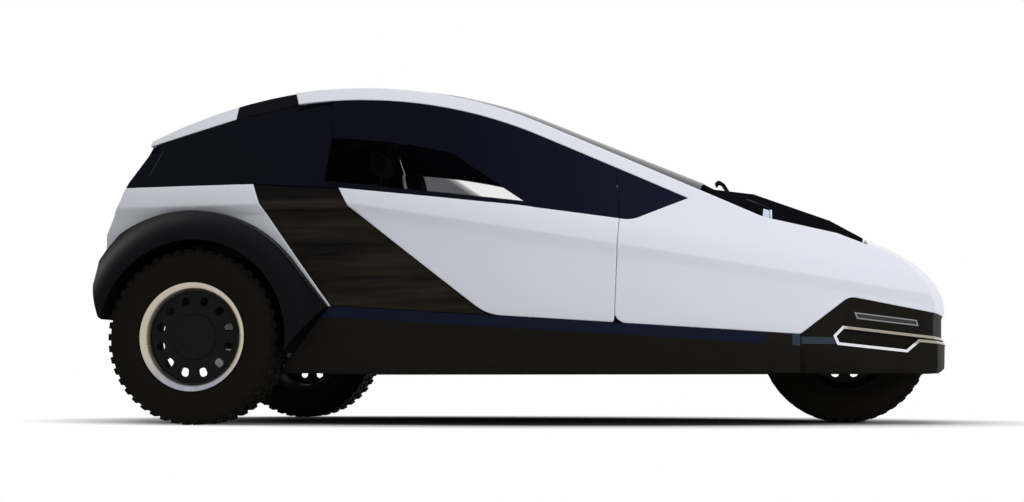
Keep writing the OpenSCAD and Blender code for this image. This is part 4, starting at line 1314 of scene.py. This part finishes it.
class Tree:
    """A geometry node tree with named inputs."""

    def __init__(self, name, inputs):
        self.tree = bpy.data.node_groups.new(name, "GeometryNodeTree")
        self.tree.interface.new_socket("Geometry", in_out="INPUT", socket_type="NodeSocketGeometry")
        for label, kind, value in inputs:
            made = self.tree.interface.new_socket(label, in_out="INPUT", socket_type=kind)
            made.default_value = value
        self.tree.interface.new_socket("Geometry", in_out="OUTPUT", socket_type="NodeSocketGeometry")
        self.inputs = self.tree.nodes.new("NodeGroupInput").outputs
        self.output = self.tree.nodes.new("NodeGroupOutput").inputs[0]

    def node(self, kind, settings=None, inputs=None, out=0):
        made = self.tree.nodes.new(kind)
        for key, value in (settings or {}).items():
            setattr(made, key, value)
        for key, value in (inputs or {}).items():
            if isinstance(value, bpy.types.NodeSocket):
                self.tree.links.new(value, made.inputs[key])
            else:
                made.inputs[key].default_value = value
        return made.outputs[out]

    def run(self, name, values, finish):
        """Realizes the instances on a plain mesh and returns it as a piece."""
        piece = new_piece(name, [(0, 0, 0)], [], finish)
        modifier = piece.modifiers.new("pattern", "NODES")
        modifier.node_group = self.tree
        for item in self.tree.interface.items_tree:
            if item.item_type == "SOCKET" and item.in_out == "INPUT" and item.name in values:
                modifier[item.identifier] = values[item.name]
        return bake(piece)

    def ring(self, shape, count, finish):
        """Instances of a mesh turned about the Y axis, realized, with a finish."""
        line = self.node("GeometryNodeMeshLine", None, {"Count": count, "Offset": (0.0, 0.0, 0.0)})
        index = self.node("GeometryNodeInputIndex")
        step = self.node("ShaderNodeMath", {"operation": "DIVIDE"}, {0: 2 * math.pi, 1: count})
        angle = self.node("ShaderNodeMath", {"operation": "MULTIPLY"}, {0: index, 1: step})
        turn = self.node("ShaderNodeCombineXYZ", None, {"Y": angle})
        made = self.node("GeometryNodeInstanceOnPoints", None,
                         {"Points": line, "Instance": shape, "Rotation": turn})
        real = self.node("GeometryNodeRealizeInstances", None, {0: made})
        done = self.node("GeometryNodeSetMaterial", None, {"Geometry": real, "Material": FINISHES[finish]})
        self.tree.links.new(done, self.output)
        return self


def block(tree, size, at, turn=(0.0, 0.0, 0.0)):
    cube = tree.node("GeometryNodeMeshCube", None, {"Size": size})
    return tree.node("GeometryNodeTransform", None, {"Geometry": cube, "Translation": at, "Rotation": turn})


def lug_ring(name, wheel, tread, tyre_r, half_w):
    """Tread lugs: shoulder blocks and side blocks on both sides, and a zigzag of middle blocks."""
    tree = Tree("tread lugs", [("Count", "NodeSocketInt", wheel.lugs)])
    count = tree.inputs["Count"]
    pitch = 2 * math.pi / wheel.lugs
    # The blocks reach 10 mm into the carcass
    mid, high = (tread + tyre_r) / 2 * MM - 0.005, (tyre_r - tread + 10) * MM
    wide = pitch * tyre_r * 0.55 * MM
    shapes = []
    for _, hand in SIDES:
        shapes.append(block(tree, (high, 0.046, wide), (mid, hand * (half_w - 34) * MM, 0.0)))
        side_at = ((tread - 13) * MM, hand * (half_w - 7.5) * MM, 0.0)
        shapes.append(block(tree, (0.018, 0.008, wide * 0.8), side_at, (0.0, 0.0, hand * 0.42)))
        a = pitch * (0.5 if hand > 0 else 0.0)
        middle_at = (mid * math.cos(a), hand * 0.021, -mid * math.sin(a))
        shapes.append(block(tree, (high, 0.034, wide * 0.95), middle_at, (0.25 * hand, a, 0.0)))
    both = tree.node("GeometryNodeJoinGeometry")
    for shape in shapes:
        tree.tree.links.new(shape, both.node.inputs[0])
    piece = tree.ring(both, count, "rubber").run(name, {"Count": wheel.lugs}, "rubber")
    return soften(piece, 0.0015, 1)


def bolt_ring(name, count, radius, y):
    tree = Tree("wheel bolts", [("Count", "NodeSocketInt", count),
                                ("Radius", "NodeSocketFloat", radius * MM)])
    nut = tree.node("GeometryNodeMeshCylinder", None, {"Vertices": 6, "Radius": 0.008, "Depth": 0.007})
    at = tree.node("ShaderNodeCombineXYZ", None, {"X": tree.inputs["Radius"], "Y": y * MM, "Z": 0.0})
    bolt = tree.node("GeometryNodeTransform", None,
                     {"Geometry": nut, "Translation": at, "Rotation": (math.pi / 2, 0.0, 0.0)})
    return soften(tree.ring(bolt, tree.inputs["Count"], "disc").run(name, {"Count": count}, "disc"), 0.001, 1)


def make_wheels():
    for side, hand in SIDES:
        make_wheel("rear_" + side, (REAR_AXLE, hand * HALF_TRACK, AXLE_Z), hand, "rim")
    # The front rim's lip takes the dark disc finish: painted shade under the bumper
    make_wheel("front", (FRONT_AXLE, 0, AXLE_Z), -1, "disc")


# Stage

FLOOR_HALF, CAMERA_AT, SENSOR = 60.0, (1.113, -7.355, 0.171), 36.0
# Lamps: size, place and aim
TOP_LAMP = ((7.0, 4.0), (-0.3, -0.6, 5.0), (-0.2, 0.0, 0.6))
SIDE_LAMP = ((3.6, 2.4), (6.2, -4.4, 2.4), (0.9, 0.0, 0.55))
SEEN_RAYS = ("Is Camera Ray", "Is Glossy Ray", "Is Transmission Ray")


def make_floor():
    scene = bpy.context.scene
    mesh = bpy.data.meshes.new("studio_floor")
    corners = box(-FLOOR_HALF, FLOOR_HALF, -FLOOR_HALF, FLOOR_HALF)
    mesh.from_pydata([(x, y, 0) for x, y in corners], [], [(0, 1, 2, 3)])
    floor = bpy.data.objects.new("studio_floor", mesh)
    scene.collection.objects.link(floor)
    # Away from the car the floor is plain white to the camera and to what mirrors it
    f = Finish("floor", "studio floor", Roughness=0.9, Specular_IOR_Level=0.0)
    x, y, _ = f.axes()
    reach = (x * x) / 4.4 + (y * y) / 1.3
    # Painted shadow: the floor's own colour is dark in an ellipse under the car and pale outside it
    f.feed(Base_Color=f.mix(reach.ramp(0.3, 0.6), (0.12, 0.12, 0.12), (0.92, 0.92, 0.92)))
    path = f.node("ShaderNodeLightPath").socket.node.outputs
    camera, glossy, through = (Signal(f, path[ray]) for ray in SEEN_RAYS)
    white = f.node("ShaderNodeEmission", None, {"Color": (1.0, 1.0, 1.0), "Strength": 1.0})
    f.blend(reach.ramp(0.7, 1.25) * camera.most(glossy).most(through), white)
    mesh.materials.append(f.material)


def make_world(scene, stage):
    """White to the camera and to what mirrors it, an even light of its own strength to the rest."""
    world = bpy.data.worlds.new("studio")
    scene.world = world
    world.use_nodes = True
    tree = world.node_tree
    back = tree.nodes["Background"]
    path = tree.nodes.new("ShaderNodeLightPath").outputs
    seen = path[SEEN_RAYS[0]]
    for ray in SEEN_RAYS[1:]:
        most = tree.nodes.new("ShaderNodeMath")
        most.operation = "MAXIMUM"
        tree.links.new(seen, most.inputs[0])
        tree.links.new(path[ray], most.inputs[1])
        seen = most.outputs[0]
    strength = tree.nodes.new("ShaderNodeMix")
    tree.links.new(seen, strength.inputs[0])
    strength.inputs[2].default_value = stage.sky
    strength.inputs[3].default_value = 1.0
    back.inputs["Color"].default_value = (1.0, 1.0, 1.0, 1.0)
    tree.links.new(strength.outputs[0], back.inputs["Strength"])


def make_stage():
    scene, stage = bpy.context.scene, bpy.context.scene.car_stage
    scene.view_settings.view_transform = "Standard"
    make_floor()
    make_world(scene, stage)

    def lamp(name, power, size, at, aim):
        data = bpy.data.lights.new(name, "AREA")
        data.energy, data.shape, data.size, data.size_y = power, "RECTANGLE", size[0], size[1]
        made = bpy.data.objects.new(name, data)
        made.location = at
        made.rotation_euler = (Vector(aim) - Vector(at)).to_track_quat("-Z", "Y").to_euler()
        made.visible_glossy = False
        made.visible_transmission = False
        scene.collection.objects.link(made)

    lamp("top_lamp", stage.top_lamp, *TOP_LAMP)
    lamp("side_lamp", stage.side_lamp, *SIDE_LAMP)

    data = bpy.data.cameras.new("camera")
    data.sensor_width, data.lens = SENSOR, stage.lens
    camera = bpy.data.objects.new("camera", data)
    camera.location = CAMERA_AT
    camera.rotation_euler = (math.pi / 2 + stage.pitch, 0.0, stage.turn)
    scene.collection.objects.link(camera)
    scene.camera = camera


# Operators

class CAR_OT_finishes(bpy.types.Operator):
    """Makes the paint, glass, cladding and cabin finishes."""
    bl_idname = "car.finishes"
    bl_label = "Finishes"

    def execute(self, context):
        make_finishes(context.scene.car_colours)
        return {"FINISHED"}


class CAR_OT_stage(bpy.types.Operator):
    """Makes the floor, the light and the camera."""
    bl_idname = "car.stage"
    bl_label = "Stage"

    def execute(self, context):
        make_stage()
        return {"FINISHED"}


class CAR_OT_white_panels(bpy.types.Operator):
    """Makes the painted sides, nose and rear quarters."""
    bl_idname = "car.white_panels"
    bl_label = "White panels"

    def execute(self, context):
        make_white_sides()
        make_nose()
        make_quarters()
        return {"FINISHED"}


class CAR_OT_roof(bpy.types.Operator):
    """Makes the roof, windscreen, spoiler and rear window."""
    bl_idname = "car.roof"
    bl_label = "Roof and spoiler"

    def execute(self, context):
        make_roof()
        make_spoiler()
        return {"FINISHED"}


class CAR_OT_doors(bpy.types.Operator):
    """Makes the doors and the side glass."""
    bl_idname = "car.doors"
    bl_label = "Doors and glass"

    def execute(self, context):
        make_doors()
        make_side_glass()
        make_pillars()
        return {"FINISHED"}


class CAR_OT_cladding(bpy.types.Operator):
    """Makes the sills and the wheel flares."""
    bl_idname = "car.cladding"
    bl_label = "Cladding"

    def execute(self, context):
        make_sills()
        make_flares()
        return {"FINISHED"}


class CAR_OT_front(bpy.types.Operator):
    """Makes the bumper, hood, lamps and bright trim."""
    bl_idname = "car.front"
    bl_label = "Front end"

    def execute(self, context):
        make_front()
        return {"FINISHED"}


class CAR_OT_hatch(bpy.types.Operator):
    """Makes the hatch and the tail."""
    bl_idname = "car.hatch"
    bl_label = "Hatch and tail"

    def execute(self, context):
        make_hatch()
        make_tail()
        return {"FINISHED"}


class CAR_OT_wheels(bpy.types.Operator):
    """Makes the tyres and wheels."""
    bl_idname = "car.wheels"
    bl_label = "Wheels"

    def execute(self, context):
        make_wheels()
        return {"FINISHED"}


class CAR_OT_running_gear(bpy.types.Operator):
    """Finishes the axle, fork, drive, floor and hinges."""
    bl_idname = "car.running_gear"
    bl_label = "Running gear"

    def execute(self, context):
        make_running_gear()
        return {"FINISHED"}


class CAR_OT_cabin(bpy.types.Operator):
    """Makes the dashboard and the hand wheel."""
    bl_idname = "car.cabin"
    bl_label = "Cabin"

    def execute(self, context):
        make_cabin()
        return {"FINISHED"}


class CAR_OT_seats(bpy.types.Operator):
    """Makes the padded seats."""
    bl_idname = "car.seats"
    bl_label = "Seats"

    def execute(self, context):
        make_seats()
        return {"FINISHED"}


STEPS = (CAR_OT_finishes, CAR_OT_stage, CAR_OT_white_panels, CAR_OT_roof, CAR_OT_doors, CAR_OT_cladding,
         CAR_OT_front, CAR_OT_hatch, CAR_OT_wheels, CAR_OT_running_gear, CAR_OT_cabin, CAR_OT_seats)


class CAR_PT_panel(bpy.types.Panel):
    """Lists the car's steps and sizes."""
    bl_idname = "CAR_PT_panel"
    bl_label = "Three wheeled car"
    bl_space_type = "VIEW_3D"
    bl_region_type = "UI"
    bl_category = "Car"

    def draw(self, context):
        for step in STEPS:
            self.layout.operator(step.bl_idname)
        for group_name, group in GROUPS:
            for name in group.__annotations__:
                self.layout.prop(getattr(context.scene, group_name), name)


GROUPS = (("car_form", CarForm), ("car_wheel", CarWheel), ("car_colours", CarColours),
          ("car_stage", CarStage))


def register():
    for _, group in GROUPS:
        bpy.utils.register_class(group)
    for name, group in GROUPS:
        setattr(bpy.types.Scene, name, PointerProperty(type=group))
    for step in STEPS + (CAR_PT_panel,):
        bpy.utils.register_class(step)


def unregister():
    for step in reversed(STEPS + (CAR_PT_panel,)):
        bpy.utils.unregister_class(step)
    for name, group in reversed(GROUPS):
        delattr(bpy.types.Scene, name)
        bpy.utils.unregister_class(group)


def main():
    register()
    for step in STEPS:
        getattr(bpy.ops.car, step.bl_idname.split(".")[1])()
    bpy.context.view_layer.update()


if __name__ == "__main__":
    main()
